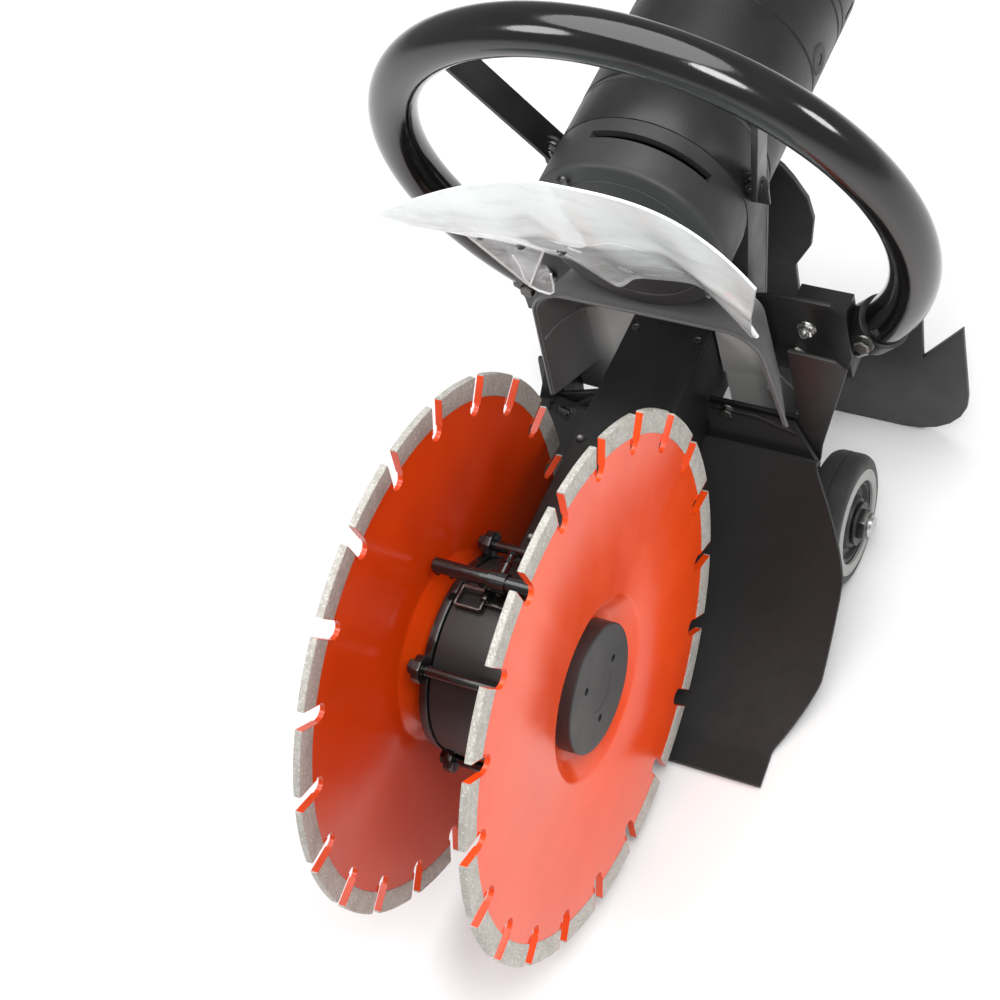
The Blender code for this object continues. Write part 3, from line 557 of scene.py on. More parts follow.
def makeFlange(name, side):
    s = flangeSet
    f, x0 = s["face"], side * bladeSet["middle"]
    profile = [(0, f - 0.35), (14.6, f - 0.35), (15.0, f), (s["radius"] - 0.8, f), (s["radius"], f - 0.8),
               (s["radius"], s["floor"]), (s["bore"], s["floor"]), (s["bore"], f - 4), (0, f - 4)]
    bm = spun([(r, side * d) for r, d in profile], "X", alongX(x0, shaft), 96)
    piece = makePiece(f"outer_flange_{name}_finished", bm, "flangeBlack", "blade_set",
                      [f"outer_flange_{name}"])
    holes = bmesh.new()
    for k in range(3):
        angle = math.radians(5 + 120 * k)
        centre = Vector((x0 * mm + side * 1 * mm, shaft.y + s["pinCircle"] * mm * math.cos(angle),
                         shaft.z + s["pinCircle"] * mm * math.sin(angle)))
        addBore(holes, centre, "X", s["pinHole"], 7, 24)
    carve(piece, holes)


for bladeName, bladeSide in (("left", -1), ("right", 1)):
    makeBlade(bladeName, bladeSide)
    makeFlange(bladeName, bladeSide)
print("blades made")


# Gear drum and spray bar

drumSet = {"radius": 62.0, "halfWidth": 30.0, "armBore": 18.3, "coverEnd": 35.5, "boltCircle": 70.0,
           "firstBolt": 39.8, "rod": 3.5}


def makeDrum():
    s = drumSet
    w = s["halfWidth"]
    shell = [(56, w), (s["radius"] - 0.8, w), (s["radius"], w - 0.8), (s["radius"], -w + 0.8),
             (s["radius"] - 0.8, -w), (56, -w)]
    drum = makePiece("gear_drum_finished", spun(shell, "X", shaft, 120), "satinBlack", "frame",
                     ["gear_drum"])
    bore = bmesh.new()
    addBore(bore, at(0, 58, shaftZ), "Y", s["armBore"], 30, 48)
    carve(drum, bore)
    for name in ("left", "right"):
        refined(f"drum_cover_{name}", "glossBlack", "frame", 0.7, 2, 25)
    end = s["coverEnd"]
    for k in range(4):
        angle = math.radians(s["firstBolt"] + 90 * k)
        centre = Vector((0, shaft.y + s["boltCircle"] * mm * math.cos(angle),
                         shaft.z + s["boltCircle"] * mm * math.sin(angle)))
        rod = spun([(0, end), (s["rod"], end), (s["rod"], -end), (0, -end)], "X", centre, 24)
        for side in (-1, 1):
            joinInto(rod, hexagonScrew(centre + Vector((side * (end + 0.3) * mm, 0, 0)), (side, 0, 0),
                                       {"head": 5.0, "tall": 4.0}))
        makePiece(f"drum_bolt_{k + 1}_finished", rod, "glossBlack", "frame",
                  [f"drum_bolt_{k + 1}"])


spraySet = {"halfLength": 44.0, "tube": 4.8, "nozzles": 9, "pitch": 10.0}


def makeSprayBar():
    s = spraySet
    end, tube = s["halfLength"], s["tube"]
    low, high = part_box("spray_bar")
    middle = Vector((0, low.y + 10 * mm, high.z - 5 * mm))
    bar = spun([(0, end), (tube - 0.9, end), (tube, end - 1), (tube, 1 - end), (tube - 0.9, -end),
                (0, -end)], "X", middle, 40)
    stem = spun([(0, 2), (3.4, 2), (3.4, -11), (0, -11)], "Z", middle, 28)
    barb = spun([(0, 21.5), (2.2, 21.5), (3.4, 19), (2.6, 18.6), (2.6, 16), (3.5, 13), (2.8, 12.6),
                 (2.8, 0), (0, 0)], "Y", middle, 28)
    collar = spun([(2, 5.8), (6.1, 5.8), (6.1, -5.8), (2, -5.8)], "X", middle, 40)
    for each in (stem, barb, collar):
        joinInto(bar, each)
    centreNozzle = s["nozzles"] // 2
    for k in range(s["nozzles"]):
        centre = middle + Vector(((k - centreNozzle) * s["pitch"] * mm, -4.4 * mm, -1.6 * mm))
        if k != centreNozzle:
            joinInto(bar, spun([(0.9, 0.8), (1.8, 0.8), (1.8, -0.6), (0.9, -0.6)], "Y", centre, 14))
    makePiece("spray_bar_finished", bar, "glossBlack", "frame", ["spray_bar"])
    foot = slab([at(-11, 2, 250.3), at(11, 2, 250.3), at(11, 22, 250.3), at(-11, 22, 250.3)],
                Vector((0, 0, 3 * mm)))
    soften(foot, 0.8 * mm, 3)
    for x0, x1, y0, y1 in ((-11, -7, 3, 21), (7, 11, 3, 21), (-8, 8, 18, 21.5)):
        wall = slab([at(x0, y0, 252), at(x1, y0, 252), at(x1, y1, 252), at(x0, y1, 252)],
                    Vector((0, 0, 6 * mm)))
        joinInto(foot, soften(wall, 0.7 * mm, 3))
    makePiece("spray_clip", foot, "glossBlack", "frame")


loopSet = {"left": -27.0, "right": -10.0, "front": 80.0, "back": 92.0, "height": 3.2, "wire": 1.3}


def onDrum(x, degrees, height):
    # a point above the drum's face, at so many degrees from the arm
    r = (drumSet["radius"] + height) * mm
    return Vector((x * mm, shaft.y + r * math.cos(math.radians(degrees)),
                   shaft.z + r * math.sin(math.radians(degrees))))


def makeDrumLoop():
    # a square loop of wire stands on the drum below the spray bar
    s = loopSet
    loop = bmesh.new()
    corners = [(s["left"], s["front"]), (s["right"], s["front"]), (s["right"], s["back"]),
               (s["left"], s["back"])]
    for (x0, a0), (x1, a1) in zip(corners, corners[1:] + corners[:1]):
        points = [onDrum(x0 + (x1 - x0) * k / 8, a0 + (a1 - a0) * k / 8, s["height"]) for k in range(9)]
        joinInto(loop, tubeAlong(points, s["wire"] * mm, 12))
    for x, angle in corners[:2]:
        post = [onDrum(x, angle, height) for height in (-0.5, 1.5, s["height"])]
        joinInto(loop, tubeAlong(post, s["wire"] * mm, 12))
    makePiece("drum_loop", loop, "darkSteel", "frame")


makeDrum()
makeSprayBar()
makeDrumLoop()
print("drum made")


# Arm and housings

lidSet = {"rows": (80, 160, 255), "across": 22.5, "screw": {"head": 3.0, "tall": 1.4}}


def makeArm():
    s = lidSet
    refined("arm_case", "satinBlack", "frame", 1.2, 3)
    refined("arm_lid", "satinBlack", "frame", 0.8, 2)
    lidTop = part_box("arm_lid")[1].z
    screws = bmesh.new()
    for y in s["rows"]:
        for side in (-1, 1):
            centre = Vector((side * s["across"] * mm, shaft.y + y * mm, lidTop - 0.4 * mm))
            joinInto(screws, socketScrew(centre, (0, 0, 1), s["screw"]))
    makePiece("lid_screws", screws, "darkSteel", "frame")


motorSet = {"noseFront": 237.0, "noseBack": 277.6, "casingFront": 316.4, "casingBack": 451.9, "tail": 498.0,
            "radius": 65.0, "wall": 4.0}


def makeNoseCap():
    s = motorSet
    r, front, back = s["radius"], s["noseFront"], s["noseBack"]
    profile = [(0, front), (r - 14, front), (r - 13.4, front + 0.6), (r - 12.6, front + 0.6),
               (r - 12, front), (r - 4.5, front), (r - 2.2, front + 0.5), (r - 0.7, front + 2.0),
               (r, front + 4.4), (r, back - 5), (r - 0.7, back - 4.4), (r - 0.7, back),
               (r - 5, back), (r - 5, front + 5), (0, front + 5)]
    cap = makePiece("nose_cap_finished", spun(profile, "Y", alongY(motorAxis), 128), "standGrey", "frame",
                    ["nose_cap"])
    # the air slot across the top of the cap
    outer = arcPoints((0, motorZ), r + 3, 37, 111, 28)
    inner = arcPoints((0, motorZ), r - 6.5, 111, 37, 28)
    carve(cap, slab([at(x, 260.5, z) for x, z in outer + inner], Vector((0, 6.0 * mm, 0))))
    plug = socketScrew(at(-33, 237.2, motorZ + 46), (0, -1, 0), {"head": 4.2, "tall": 2.6})
    for angle in (205, 335):
        joinInto(plug, socketScrew(at(54 * math.cos(math.radians(angle)), 237.2,
                                      motorZ + 54 * math.sin(math.radians(angle))), (0, -1, 0),
                                   {"head": 3.6, "tall": 2.2}))
    makePiece("nose_screws", plug, "darkSteel", "frame")


def makeCasing():
    s = motorSet
    r, w = s["radius"], s["wall"]
    profile = [(r - w, s["casingFront"]), (r - 1.2, s["casingFront"]), (r, s["casingFront"] + 1.2)]
    for y in (394, 442):
        profile += [(r, y), (r - 1.0, y + 0.8), (r - 1.0, y + 2.2), (r, y + 3)]
    profile += [(r, s["casingBack"] - 1.2), (r - 1.2, s["casingBack"]), (r - w, s["casingBack"])]
    makePiece("motor_casing_finished", spun(profile, "Y", alongY(motorAxis), 120), "satinBlack", "frame",
              ["motor_casing"])
    for side, name in ((-1, "left"), (1, "right")):
        cap = spun([(0, 0.5), (4, 0.5), (4, 1.6), (9.5, 1.6), (11, 0.4), (11, -3), (0, -3)], "X",
                   Vector((0, 0, 0)), 40)
        bmesh.ops.scale(cap, vec=(side, 1, 1), verts=cap.verts)
        bmesh.ops.recalc_face_normals(cap, faces=cap.faces)
        bmesh.ops.translate(cap, verts=cap.verts, vec=at(side * 64.0, 408, motorZ))
        makePiece(f"brush_cap_{name}", cap, "carbon", "frame")


def switchBlock(halfWidth, halfHeight, y, depth):
    # a block round the middle of the rocker switch
    corners = ((-1, -1), (1, -1), (1, 1), (-1, 1))
    return slab([at(a * halfWidth, y, 360 + b * halfHeight) for a, b in corners], Vector((0, depth * mm, 0)))


def makeRearCover():
    s = motorSet
    r, w, back = s["radius"], s["wall"], s["tail"]
    curve = [(r - 18 + 18 * math.sin(math.radians(a)), back - 20 + 20 * math.cos(math.radians(a)))
             for a in (0, 15, 30, 45, 60, 75, 90)]
    profile = [(0, back)] + curve + [(r, 453.6), (r - 1.0, 452.5), (r - w, 452.5), (r - w, back - 22),
                                     (r - 16, back - w), (19, back - w), (0, back - w)]
    cover = makePiece("rear_cover_finished", spun(profile, "Y", alongY(motorAxis), 128), "satinBlack",
                      "frame", ["rear_cover"])
    vents = bmesh.new()
    for k in range(16):
        outline = [(-2, 460), (-1.4, 458.6), (0, 458), (1.4, 458.6), (2, 460), (2, 472), (1.4, 473.4),
                   (0, 474), (-1.4, 473.4), (-2, 472)]
        bm = slab([Vector((x * mm, y * mm, (r - 9) * mm)) for x, y in outline], Vector((0, 0, 14 * mm)))
        turn = Matrix.Rotation(math.tau * (k + 0.5) / 16, 3, "Y")
        bmesh.ops.rotate(bm, cent=(0, 0, 0), matrix=turn, verts=bm.verts)
        bmesh.ops.translate(bm, verts=bm.verts, vec=(0, shaft.y, motorAxis.z))
        joinInto(vents, bm)
    carve(cover, vents)
    opening = switchBlock(11, 12, 485, 20)
    addBore(opening, at(0, 495, 284), "Y", 9.2, 30)
    carve(cover, opening)
    bezel = soften(switchBlock(13.5, 14.5, 497.6, 2), 1.0 * mm, 3)
    carve(makePiece("switch_bezel", bezel, "rubber", "frame"), switchBlock(11, 12, 490, 20))
    gland = [(4.5, 522), (6.6, 522), (7.2, 521.4)]
    for k in range(4):
        y = 518 - 4 * k
        gland += [(7.4 + 0.35 * k, y + 0.9), (6.4 + 0.35 * k, y + 0.3), (6.4 + 0.35 * k, y - 1.2),
                  (7.6 + 0.35 * k, y - 1.8)]
    gland += [(9.0, 502), (9.0, 488), (4.5, 488)]
    makePiece("cable_gland_finished", spun(gland, "Y", at(0, 0, 284), 48), "rubber", "frame",
              ["cable_gland"])
    refined("rocker_switch", "carbon", "switch", 0.8, 3)


makeArm()
makeNoseCap()
makeCasing()
makeRearCover()
refined("gear_case", "satinBlack", "frame", 1.0, 2)
refined("bearing_plate", "standGrey", "frame", 0.5, 1)
print("arm and housings made")


# Ring handle

ringSet = {"centre": (0, 272.6, 321.7), "radius": 173.0, "tube": 16.0, "lean": 9.6, "reach": 146.0,
           "sides": 40, "steps": 180}


def ringPoint(degrees):
    s = ringSet
    a, lean = math.radians(degrees), math.radians(s["lean"])
    x, y, z = s["centre"]
    up = s["radius"] * math.cos(a)
    return at(x + s["radius"] * math.sin(a), y - up * math.sin(lean), z + up * math.cos(lean))


def makeRing():
    s = ringSet
    angles = [-s["reach"] + 2 * s["reach"] * k / s["steps"] for k in range(s["steps"] + 1)]
    points = [ringPoint(a) for a in angles]
    tube = tubeAlong(points, s["tube"] * mm, s["sides"])
    for cap in [f for f in tube.faces if len(f.verts) > 4]:
        bmesh.ops.inset_region(tube, faces=[cap], thickness=2.4 * mm)
    rims = [e for e in tube.edges if e.is_manifold and e.calc_face_angle(0) > math.radians(60)]
    bmesh.ops.bevel(tube, geom=rims, offset=1.2 * mm, affect="EDGES", segments=3, profile=0.5, material=-1)
    makePiece("ring_handle_finished", tube, "glossBlack", "frame", ["ring_handle"])
    for name, side in (("left", -1), ("right", 1)):
        end, near = ringPoint(side * s["reach"]), ringPoint(side * (s["reach"] - 1))
        plug = bmesh.new()
        addCone(plug, 12.6 * mm, 12.2 * mm, -1.0 * mm, 1.4 * mm, 40)
        addCone(plug, 5.4 * mm, 5.0 * mm, 1.4 * mm, 4.4 * mm, 6)
        makePiece(f"ring_plug_{name}", pointed(plug, end, (end - near).normalized()), "darkSteel", "frame")


bracketSet = {"strapOuter": 18.4, "strapInner": 16.15, "strapHalf": 9.0,
              "strapAt": {"left": -138, "right": 128}, "upperBolt": (93.6, 274.2, 219),
              "lowerBolt": (83.4, 274.2, 190.3), "strutBolt": (68.6, 339)}


def makeStrap(name, side):
    # a band round the ring where the bracket holds it, with its bolt
    s = bracketSet
    angle = s["strapAt"][name]
    centre = ringPoint(angle)
    path = (ringPoint(angle + side) - ringPoint(angle - side)).normalized()
    outer, inner, half = s["strapOuter"], s["strapInner"], s["strapHalf"]
    profile = [(outer - 0.5, half), (outer, half - 0.5), (outer, 0.5 - half), (outer - 0.5, -half),
               (inner, -half), (inner, half)]
    strap = pointed(spun(profile, "Z", Vector((0, 0, 0)), 72), centre, path)
    makePiece(f"handle_strap_{name}", strap, "satinBlack", "frame")
    outside = (centre - at(*ringSet["centre"])).normalized()
    seat = centre + Vector((0, -18.6 * mm, 0)) - outside * 4 * mm
    bolt = hexagonScrew(seat, (0, -1, 0.15), {"head": 5.6, "tall": 4.6})
    makePiece(f"strap_bolt_{name}", bolt, "darkSteel", "frame")


def makeBrackets():
    s = bracketSet
    for name, side in (("left", -1), ("right", 1)):
        refined(f"handle_bracket_{name}", "satinBlack", "frame", 0.7, 2)
        refined(f"handle_strut_{name}", "satinBlack", "frame", 0.7, 2)
        x, y, z = s["upperBolt"]
        bolts = hexagonScrew(at(side * x, y, z), (0, -1, 0), {"head": 5.2, "tall": 4.2, "thread": 3})
        x, y, z = s["lowerBolt"]
        joinInto(bolts, hexagonScrew(at(side * x, y, z), (0, -1, 0), {"head": 4.4, "tall": 3.8, "thread": 2}))
        makePiece(f"bracket_bolts_{name}", bolts, "zinc" if side > 0 else "darkSteel", "frame")
        makeStrap(name, side)
        # the strut's upper end is bolted on through a rounded tab
        x, z = s["strutBolt"]
        outline = arcPoints((x, z), 9.5, -20, 200, 20) + [(60, 322), (77, 322)]
        tab = slab([at(side * across, 287.6, up) for across, up in outline], Vector((0, -2.4 * mm, 0)))
        makePiece(f"strut_tab_{name}", soften(tab, 0.6 * mm, 2), "satinBlack", "frame")
        bolt = hexagonScrew(at(side * x, 285.1, z), (0, -1, 0), {"head": 5.0, "tall": 3.8, "thread": 2})
        makePiece(f"strut_bolt_{name}", bolt, "darkSteel", "frame")


makeRing()
makeBrackets()
print("handle made")


# Wheels

wheelSet = {"inner": 96.0, "outer": 123.5, "radius": 48.0, "bore": 30.3, "holes": 5}


def makeWheels():
    s = wheelSet
    for name, side in (("left", -1), ("right", 1)):
        a, b, r = s["inner"], s["outer"], s["radius"]
        body = f"wheel_{name}"
        mid = (a + b) / 2
        tread = [(s["bore"], b - 1.6), (33, b - 1.2), (r - 8, b), (r - 5.0, b - 0.3), (r - 2.2, b - 1.8),
                 (r - 0.7, b - 4.2), (r, b - 6.5), (r, mid + 1.2), (r - 1.6, mid + 0.7), (r - 1.6, mid - 0.7),
                 (r, mid - 1.2), (r, a + 6.5), (r - 0.7, a + 4.2), (r - 2.2, a + 1.8), (r - 5.0, a + 0.3),
                 (r - 8, a), (33, a + 1.2), (s["bore"], a + 1.6)]
        bm = spun([(radius, side * x) for radius, x in tread], "X", Vector((0, wheelAxis.y, wheelAxis.z)), 96)
        makePiece(f"tyre_{name}_finished", bm, "tyre", body, [f"tyre_{name}"])
        ring = [(30.6, b - 2.2), (38.5, b - 2.2), (38.5, b + 0.1), (37.6, b + 0.5), (31.4, b + 0.5),
                (30.6, b + 0.1)]
        bm = spun([(radius, side * x) for radius, x in ring], "X", Vector((0, wheelAxis.y, wheelAxis.z)), 96)
        makePiece(f"tyre_side_{name}", bm, "tyreSide", body)
        hub = [(8.4, b - 0.5), (17.2, b - 0.5), (18, b - 1.3), (19.6, b - 5), (25.6, b - 5), (27, b - 2.2),
               (29.4, b - 2.0), (30, b - 2.6), (30, a + 2), (8.4, a + 2)]
        bm = spun([(radius, side * x) for radius, x in hub], "X", Vector((0, wheelAxis.y, wheelAxis.z)), 80)
        wheel = makePiece(f"wheel_hub_{name}_finished", bm, "flangeBlack", body,
                          [f"wheel_hub_{name}"])
        holes = bmesh.new()
        for k in range(s["holes"]):
            angle = math.tau * (k + 0.5) / s["holes"]
            centre = Vector((side * (b - 5) * mm, wheelAxis.y + 22.6 * mm * math.cos(angle),
                             wheelAxis.z + 22.6 * mm * math.sin(angle)))
            addBore(holes, centre, "X", 2.4, 9, 20)
        carve(wheel, holes)
        refined(f"axle_bracket_{name}", "satinBlack", "frame", 0.6, 2)
    centre = Vector((0, wheelAxis.y, wheelAxis.z))
    axle = [(0, -133), (10.6, -133), (12, -131.8), (12, -124.6), (8, -124.6), (8, 133.2), (6.4, 135),
            (0, 135)]
    makePiece("axle_finished", spun(axle, "X", centre, 48), "steel", "frame", ["axle"])
    washer = spun([(8.3, 124.4), (15.4, 124.4), (15.8, 124.8), (15.8, 125.8), (15.4, 126.2), (8.3, 126.2)],
                  "X", centre, 48)
    makePiece("axle_washer", washer, "flangeBlack", "frame")
    nut = bmesh.new()
    bmesh.ops.create_cone(nut, cap_ends=True, segments=6, radius1=12 * mm, radius2=12 * mm, depth=5.8 * mm,
                          matrix=Matrix.Translation(centre + Vector((129.1 * mm, 0, 0))) @ axisTurn("X"))
    soften(nut, 0.7 * mm, 2)
    joinInto(nut, spun([(8.1, 132), (9.4, 132), (8.9, 132.9), (8.1, 132.9)], "X", centre, 40))
    makePiece("axle_nut_finished", nut, "darkSteel", "frame", ["axle_nut"])


makeWheels()
print("wheels made")


# Guards

def sheetFrom(grid, thickness):
    # a sheet of even thickness from rows of points, with its edge closed
    bm = bmesh.new()
    rows = [[bm.verts.new(p) for p in row] for row in grid]
    for a, b in zip(rows, rows[1:]):
        for i in range(len(a) - 1):
            bm.faces.new((a[i], a[i + 1], b[i + 1], b[i]))
    bmesh.ops.recalc_face_normals(bm, faces=bm.faces)
    bmesh.ops.solidify(bm, geom=bm.faces[:], thickness=thickness)
    bmesh.ops.recalc_face_normals(bm, faces=bm.faces)
    return bm


def smoothStep(value):
    return value * value * (3 - 2 * value)


flapSet = {"rows": 72, "columns": 40, "thickness": 3.0,
           "armNotch": [(-29, 135), (29, 135), (29, 180), (-29, 180)],
           "leftNotch": [(-20, 148), (-60, 140), (-76, 124), (-91, 128), (-91, 180), (-20, 180)],
           "bolts": [(44.2, 160, 4.6), (86.4, 116, 4.0), (-44.2, 132, 4.6), (-86.4, 116, 4.0)]}


def flapStation(share):
    # half width and centre line of the flap, from its top edge to its edge on the floor
    if share < 0.2:
        along = share / 0.2
        return 92 + 14 * along, 239.2 - 0.6 * along, 162 - 44 * along
    swing = (share - 0.2) / 0.8
    angle = math.radians(-14.5 - 61 * swing)
    radius = 238.5 - 42 * swing ** 0.75
    bulge = math.sin(math.pi * min(1.0, 1.15 * swing))
    y = radius * math.cos(angle)
    z = max(shaftZ + radius * math.sin(angle) + 3.2 * (1 - swing), 1.8)
    return min(106 + 29 * bulge + 12 * swing, 136), y, z


def makeFlap():
    s = flapSet
    grid = []
    for k in range(s["rows"] + 1):
        share = k / s["rows"]
        half, y, z = flapStation(share)
        row = []
        for i in range(s["columns"] + 1):
            c = -1 + 2 * i / s["columns"]
            # the free part of the rubber hangs in shallow waves
            wave = 1.1 * smoothStep(share) * math.sin(5.2 * c + 1.3) * (1 - share)
            row.append(at(half * c, y - wave, z + 0.4 * wave))
        grid.append(row)
    flap = makePiece("mud_flap_finished", sheetFrom(grid, s["thickness"] * mm), "rubber", "frame",
                     ["mud_flap"])
    for outline in (s["armNotch"], s["leftNotch"]):
        carve(flap, slab([at(x, 215, z) for x, z in outline], Vector((0, 50 * mm, 0))))
    bolts = bmesh.new()
    for x, z, head in s["bolts"]:
        joinInto(bolts, hexagonScrew(at(x, 237.5, z), (0, -1, 0), {"head": head, "tall": 3.4}))
    makePiece("flap_bolts", bolts, "darkSteel", "frame")
    outline = [(31, 163), (31, 159.5), (64, 158.5), (91, 149), (93, 151), (92, 154), (66, 163)]
    strip = slab([at(x, 237.4, z) for x, z in outline], Vector((0, -1.4 * mm, 0)))
    makePiece("clamp_strip", soften(strip, 0.4 * mm, 2), "satinBlack", "frame")


hoodSet = {"rows": 14, "wall": 2.4, "apron": 1.8,
           "armNotch": [(-29, 150), (29, 150), (29, 207), (-29, 207)],
           "aprons": [[(30, 110), (80, 116), (82, 150), (67.5, 170), (30, 170)],
                      [(-30, 168), (-67, 168), (-82, 150), (-97, 132), (-97, 104), (-30, 100)]],
           "bead": [(81.2, 232.5, 203), (76, 246, 206), (68.4, 262, 203), (64.4, 267.6, 200),
                    (58, 268.4, 201.5), (44, 268.4, 209), (34, 268.4, 211), (29.6, 268.4, 207)]}


def hoodOutline(share):
    # the hood's section from its front rim (0) to its back wall (1)
    half, roof, corner, flare = 82 - 14 * share, 257 - 4 * share, 26 - 6 * share, 7 - 5 * share
    top = roof - corner
    points = [(half + flare * (1 - k / 6), 166 + (top - 166) * k / 6) for k in range(6)]
    points += arcPoints((half - corner, top), corner, 0, 90, 14)
    points += [((half - corner) * (1 - k / 5), roof) for k in range(1, 10)]
    points += [(-x, z) for x, z in reversed(arcPoints((half - corner, top), corner, 0, 90, 14))]
    points += [(-half - flare * k / 6, top + (140 - top) * k / 6) for k in range(1, 7)]
    return [(x, 232 + 38 * share, z) for x, z in points]


def makeHood():
    s = hoodSet
    rows = [hoodOutline(k / s["rows"]) for k in range(s["rows"] + 1)]
    # round the turn between the side walls and the back
    last = rows[-1]
    for inset, back in ((0.985, 0.5), (0.95, 0.8)):
        rows.append([(x * inset, 270 + back, 208 + (z - 208) * inset if z > 208 else z) for x, y, z in last])
    bm = bmesh.new()
    grid = [[bm.verts.new(at(*p)) for p in row] for row in rows]
    for a, b in zip(grid, grid[1:]):
        for i in range(len(a) - 1):
            bm.faces.new((a[i], a[i + 1], b[i + 1], b[i]))
    bm.faces.new(grid[-1])
    bmesh.ops.recalc_face_normals(bm, faces=bm.faces)
    bmesh.ops.solidify(bm, geom=bm.faces[:], thickness=s["wall"] * mm)
    bmesh.ops.recalc_face_normals(bm, faces=bm.faces)
    hood = makePiece("hood_finished", bm, "hoodRubber", "frame", ["hood"])
    carve(hood, slab([at(x, 220, z) for x, z in s["armNotch"]], Vector((0, 80 * mm, 0))))
    aprons = bmesh.new()
    for outline in s["aprons"]:
        joinInto(aprons, slab([at(x, 268.8, z) for x, z in outline], Vector((0, s["apron"] * mm, 0))))
    makePiece("hood_aprons", soften(aprons, 0.4 * mm, 2), "hoodRubber", "frame")
    rim = [at(*p) + Vector((0, -0.4 * mm, 0)) for p in hoodOutline(0)]
    makePiece("hood_rim_bead", tubeAlong(rim, 1.3 * mm, 12), "hoodRubber", "frame")
    for name, side in (("left", -1), ("right", 1)):
        line = [at(side * x, y, z) for x, y, z in s["bead"]]
        makePiece(f"hood_bead_{name}", tubeAlong(line, 1.4 * mm, 12), "hoodRubber", "frame")


# the lower edge runs from the left tip down to the right end
visorSet = {"rows": 36, "columns": 110, "thickness": 1.6, "reach": 122.0, "top": 452.0,
            "lower": [(-120, 171, 386), (-91, 190, 365), (-65, 200, 351), (-49, 206, 339), (-32, 210, 331),
                      (-19, 215, 322), (-6, 223, 295), (8, 223, 306), (22, 223, 310), (48, 228, 306),
                      (63, 230, 290), (74, 231, 275), (80, 232, 258)],
            "screws": [(-0.70, 0.10), (-0.50, 0.09), (0.62, 0.1), (-0.12, 0.35)]}


def throughPoints(points, share):
    # a smooth curve through the points; share runs from 0 to 1
    place = share * (len(points) - 1)
    k = min(int(place), len(points) - 2)
    t = place - k
    a, b = Vector(points[max(k - 1, 0)]), Vector(points[k])
    c, d = Vector(points[k + 1]), Vector(points[min(k + 2, len(points) - 1)])
    bend = (2 * a - 5 * b + 4 * c - d) * t ** 2 + (3 * b - a - 3 * c + d) * t ** 3
    return 0.5 * (2 * b + (c - a) * t + bend)


def visorPoint(share, up):
    # share runs from the left (-1) to the right (1), up from the lower edge (0) to the upper (1)
    s = visorSet
    lower = throughPoints(s["lower"], (share + 1) / 2)
    droop = 58 * abs(share) ** (1.5 if share < 0 else 3.6)
    upper = Vector((s["reach"] * share, 168, s["top"] - droop))
    point = lower.lerp(upper, up)
    size = (upper - lower).length
    point.y -= min(10, 0.14 * size) * math.sin(math.pi * up)
    # creases and shallow waves of the thin sheet
    wave = 0.012 * size * math.sin(11 * share + 4 * up) * math.sin(math.pi * up)
    crease = 1.2 * math.exp(-((up - 0.55 - 0.1 * share) / 0.05) ** 2)
    return at(point.x, point.y + wave - crease, point.z)


def makeVisor():
    s = visorSet
    grid = [[visorPoint(-1 + 2 * i / s["columns"], k / s["rows"]) for i in range(s["columns"] + 1)]
            for k in range(s["rows"] + 1)]
    makePiece("visor_finished", sheetFrom(grid, s["thickness"] * mm), "visor", "frame",
              ["visor"])
    # the rolled lower edge, its white a painted highlight
    edge = [visorPoint(-1 + 2 * i / 90, 0.0) for i in range(91)]
    makePiece("visor_edge_roll", tubeAlong(edge, 1.5 * mm, 12), "visorEdgeHighlight", "frame")
    # white lines along the sheet's folds: painted highlights
    for name, low, high, line in (("crease", -0.9, 0.94, lambda u: 0.30 + 0.08 * math.sin(3 * u)),
                                  ("fold", -0.1, 0.75, lambda u: 0.62 - 0.3 * abs(u - 0.3))):
        seam = [low + (high - low) * k / 60 for k in range(61)]
        path = [visorPoint(u, line(u)) + Vector((0, -1.2 * mm, 0)) for u in seam]
        makePiece(f"visor_{name}", tubeAlong(path, 0.6 * mm, 8), "visorEdgeHighlight", "frame")
    screws = bmesh.new()
    for share, up in s["screws"]:
        point = visorPoint(share, up)
        joinInto(screws, socketScrew(point + Vector((0, -1.4 * mm, 0.8 * mm)), (0, -0.85, 0.5),
                                     {"head": 3.0, "tall": 1.8}))
    makePiece("visor_screws", screws, "darkSteel", "frame")


def makeVisorTabs():
    # a clear gusset ties the lower edge to the corner of the hood
    start, end, tip = at(-88, 192, 362), at(-42, 208, 334), at(-78, 231, 262)
    rows = [[start.lerp(end, i / 8).lerp(tip, 0.97 * k / 8) for i in range(9)] for k in range(9)]
    makePiece("visor_gusset", sheetFrom(rows, 1.0 * mm), "visorClear", "frame")
    # the gusset's edges carry the same white painted highlight
    for name, top in (("outer", start), ("inner", end)):
        edge = [top.lerp(tip, k / 10) for k in range(11)]
        makePiece(f"visor_gusset_edge_{name}", tubeAlong(edge, 0.9 * mm, 8), "visorEdgeHighlight", "frame")
    # a narrow tab of the same sheet hangs at the left hood corner
    tab = [[at(-80, 226, 298), at(-71, 225, 299), at(-62, 225, 298), at(-56, 226, 295)],
           [at(-79, 228, 286), at(-71, 227, 286), at(-62, 227, 285), at(-57, 228, 284)],
           [at(-79, 229, 273), at(-72, 229, 271), at(-63, 229, 270), at(-58, 229, 272)],
           [at(-77, 230, 264), at(-72, 230.4, 260), at(-64, 230.4, 259), at(-60, 230, 263)]]
    makePiece("visor_tab", sheetFrom(tab, 1.2 * mm), "visorClear", "frame")
    # the tab's rim carries the same white painted highlight
    rim = [row[0] for row in tab] + tab[3][1:] + [tab[2][3], tab[1][3]]
    makePiece("visor_tab_edge", tubeAlong(rim, 0.8 * mm, 8), "visorEdgeHighlight", "frame")


makeFlap()
makeHood()
makeVisor()
makeVisorTabs()
refined("guard_plate", "satinBlack", "frame", 0.5, 2)
refined("rear_stand", "standGrey", "frame", 0.7, 2)
print("guards made")


# Pieces that keep their own shape

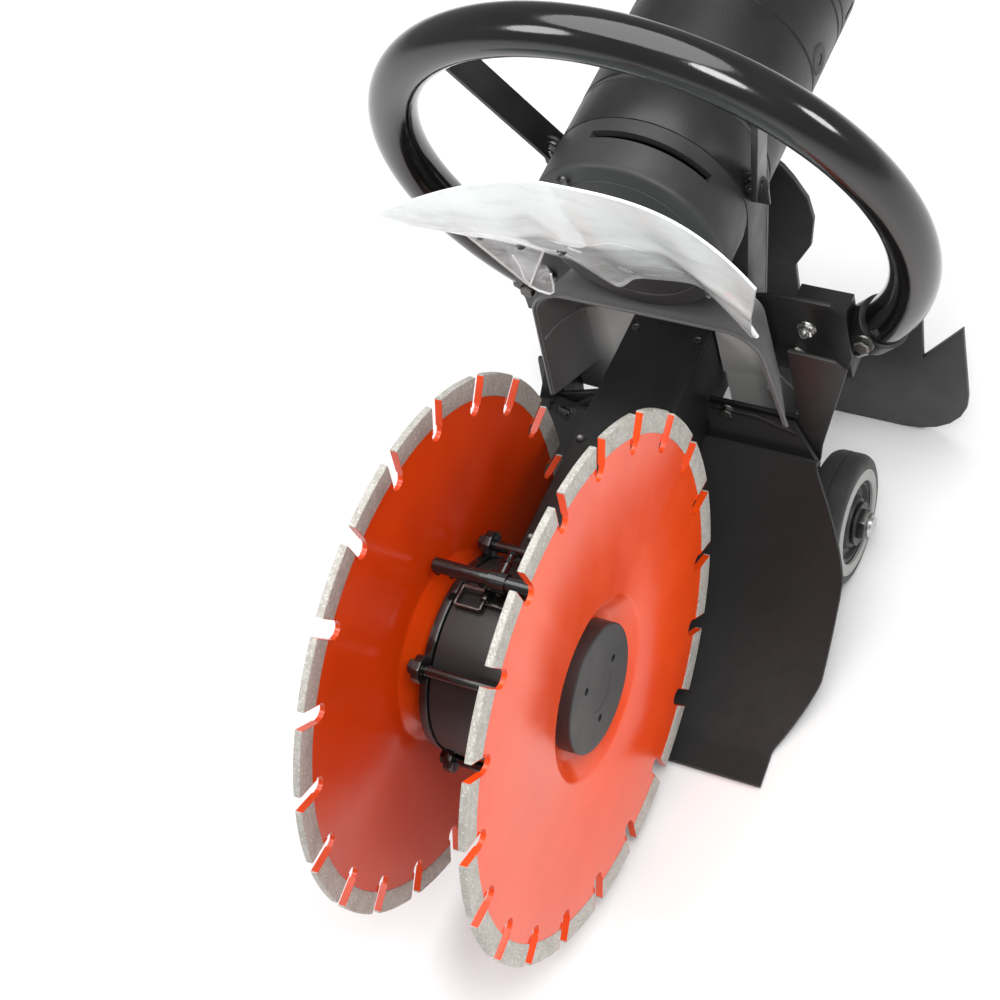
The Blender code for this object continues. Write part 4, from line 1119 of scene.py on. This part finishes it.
carried = {
    "steel": ["blade_shaft", "inner_flange_left", "inner_flange_right", "ring_gear", "drive_shaft",
              "drive_gear", "idler_gear", "idler_pin", "rotor_shaft", "stator_core", "rotor_core",
              "shaft_bearing_left", "shaft_bearing_right", "drive_bearing_front", "drive_bearing_rear",
              "rotor_bearing_front", "rotor_bearing_rear"],
    "copper": ["commutator"],
    "satinBlack": ["fan"],
    "carbon": ["carbon_brush_left", "carbon_brush_right"],
}
for finish, names in carried.items():
    for name in names:
        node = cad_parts[name]
        for k in range(max(1, len(node.data.materials))):
            if k < len(node.data.materials):
                node.data.materials[k] = finishes[finish]
            else:
                node.data.materials.append(finishes[finish])
print("carried pieces finished")


# Floor, light and camera

def makeStage():
    floor, shader = newMaterial("pale_floor", (0.86, 0.86, 0.86), 0.7)
    n = Nodes(floor, shader)
    n.roughness(n.span(n.noise(3, 2), 0.3, 0.7, 0.62, 0.78))
    bm = bmesh.new()
    bmesh.ops.create_grid(bm, x_segments=2, y_segments=2, size=6)
    mesh = bpy.data.meshes.new("floor")
    bm.to_mesh(mesh)
    bm.free()
    mesh.materials.append(floor)
    stage = bpy.data.objects.new("floor", mesh)
    stage.location.z = -0.0004
    bpy.context.scene.collection.objects.link(stage)

    world = bpy.data.worlds.new("studio")
    world.use_nodes = True
    back = world.node_tree.nodes["Background"]
    back.inputs["Color"].default_value = (1, 1, 1, 1)
    back.inputs["Strength"].default_value = 0.32
    bpy.context.scene.world = world
    bpy.context.scene.view_settings.view_transform = "Standard"


lamps = {
    "overhead": {"from": (0.0, 0.1, 2.3), "size": 2.6, "power": 60},
    "key": {"from": (-1.3, -1.3, 1.7), "size": 0.9, "power": 16},
    "blade": {"from": (0.42, -0.38, 0.98), "size": 0.3, "power": 3.2},
    "side": {"from": (1.7, 0.3, 1.1), "size": 0.5, "power": 8},
}


def makeLamps():
    target = at(0, 150, 200)
    for name, s in lamps.items():
        light = bpy.data.lights.new(name, "AREA")
        light.shape = "DISK"
        light.size = s["size"]
        light.energy = s["power"]
        lamp = bpy.data.objects.new(name, light)
        lamp.location = s["from"]
        lamp.rotation_mode = "QUATERNION"
        lamp.rotation_quaternion = (target - lamp.location).to_track_quat("-Z", "Y")
        bpy.context.scene.collection.objects.link(lamp)


def makeCamera():
    data = bpy.data.cameras.new("camera")
    data.lens = 80.06
    data.sensor_width = 36
    data.dof.use_dof = False
    data.clip_start, data.clip_end = 0.05, 20
    camera = bpy.data.objects.new("camera", data)
    right, up = Vector((0.8886, 0.4049, -0.2153)), Vector((-0.2273, 0.7967, 0.5600))
    back = right.cross(up).normalized()
    turn = Matrix((right, up, back)).transposed().to_4x4()
    camera.matrix_world = Matrix.Translation((0.51672, -0.71619, 1.35384)) @ turn
    bpy.context.scene.collection.objects.link(camera)
    bpy.context.scene.camera = camera


makeStage()
makeLamps()
makeCamera()
print("stage ready")
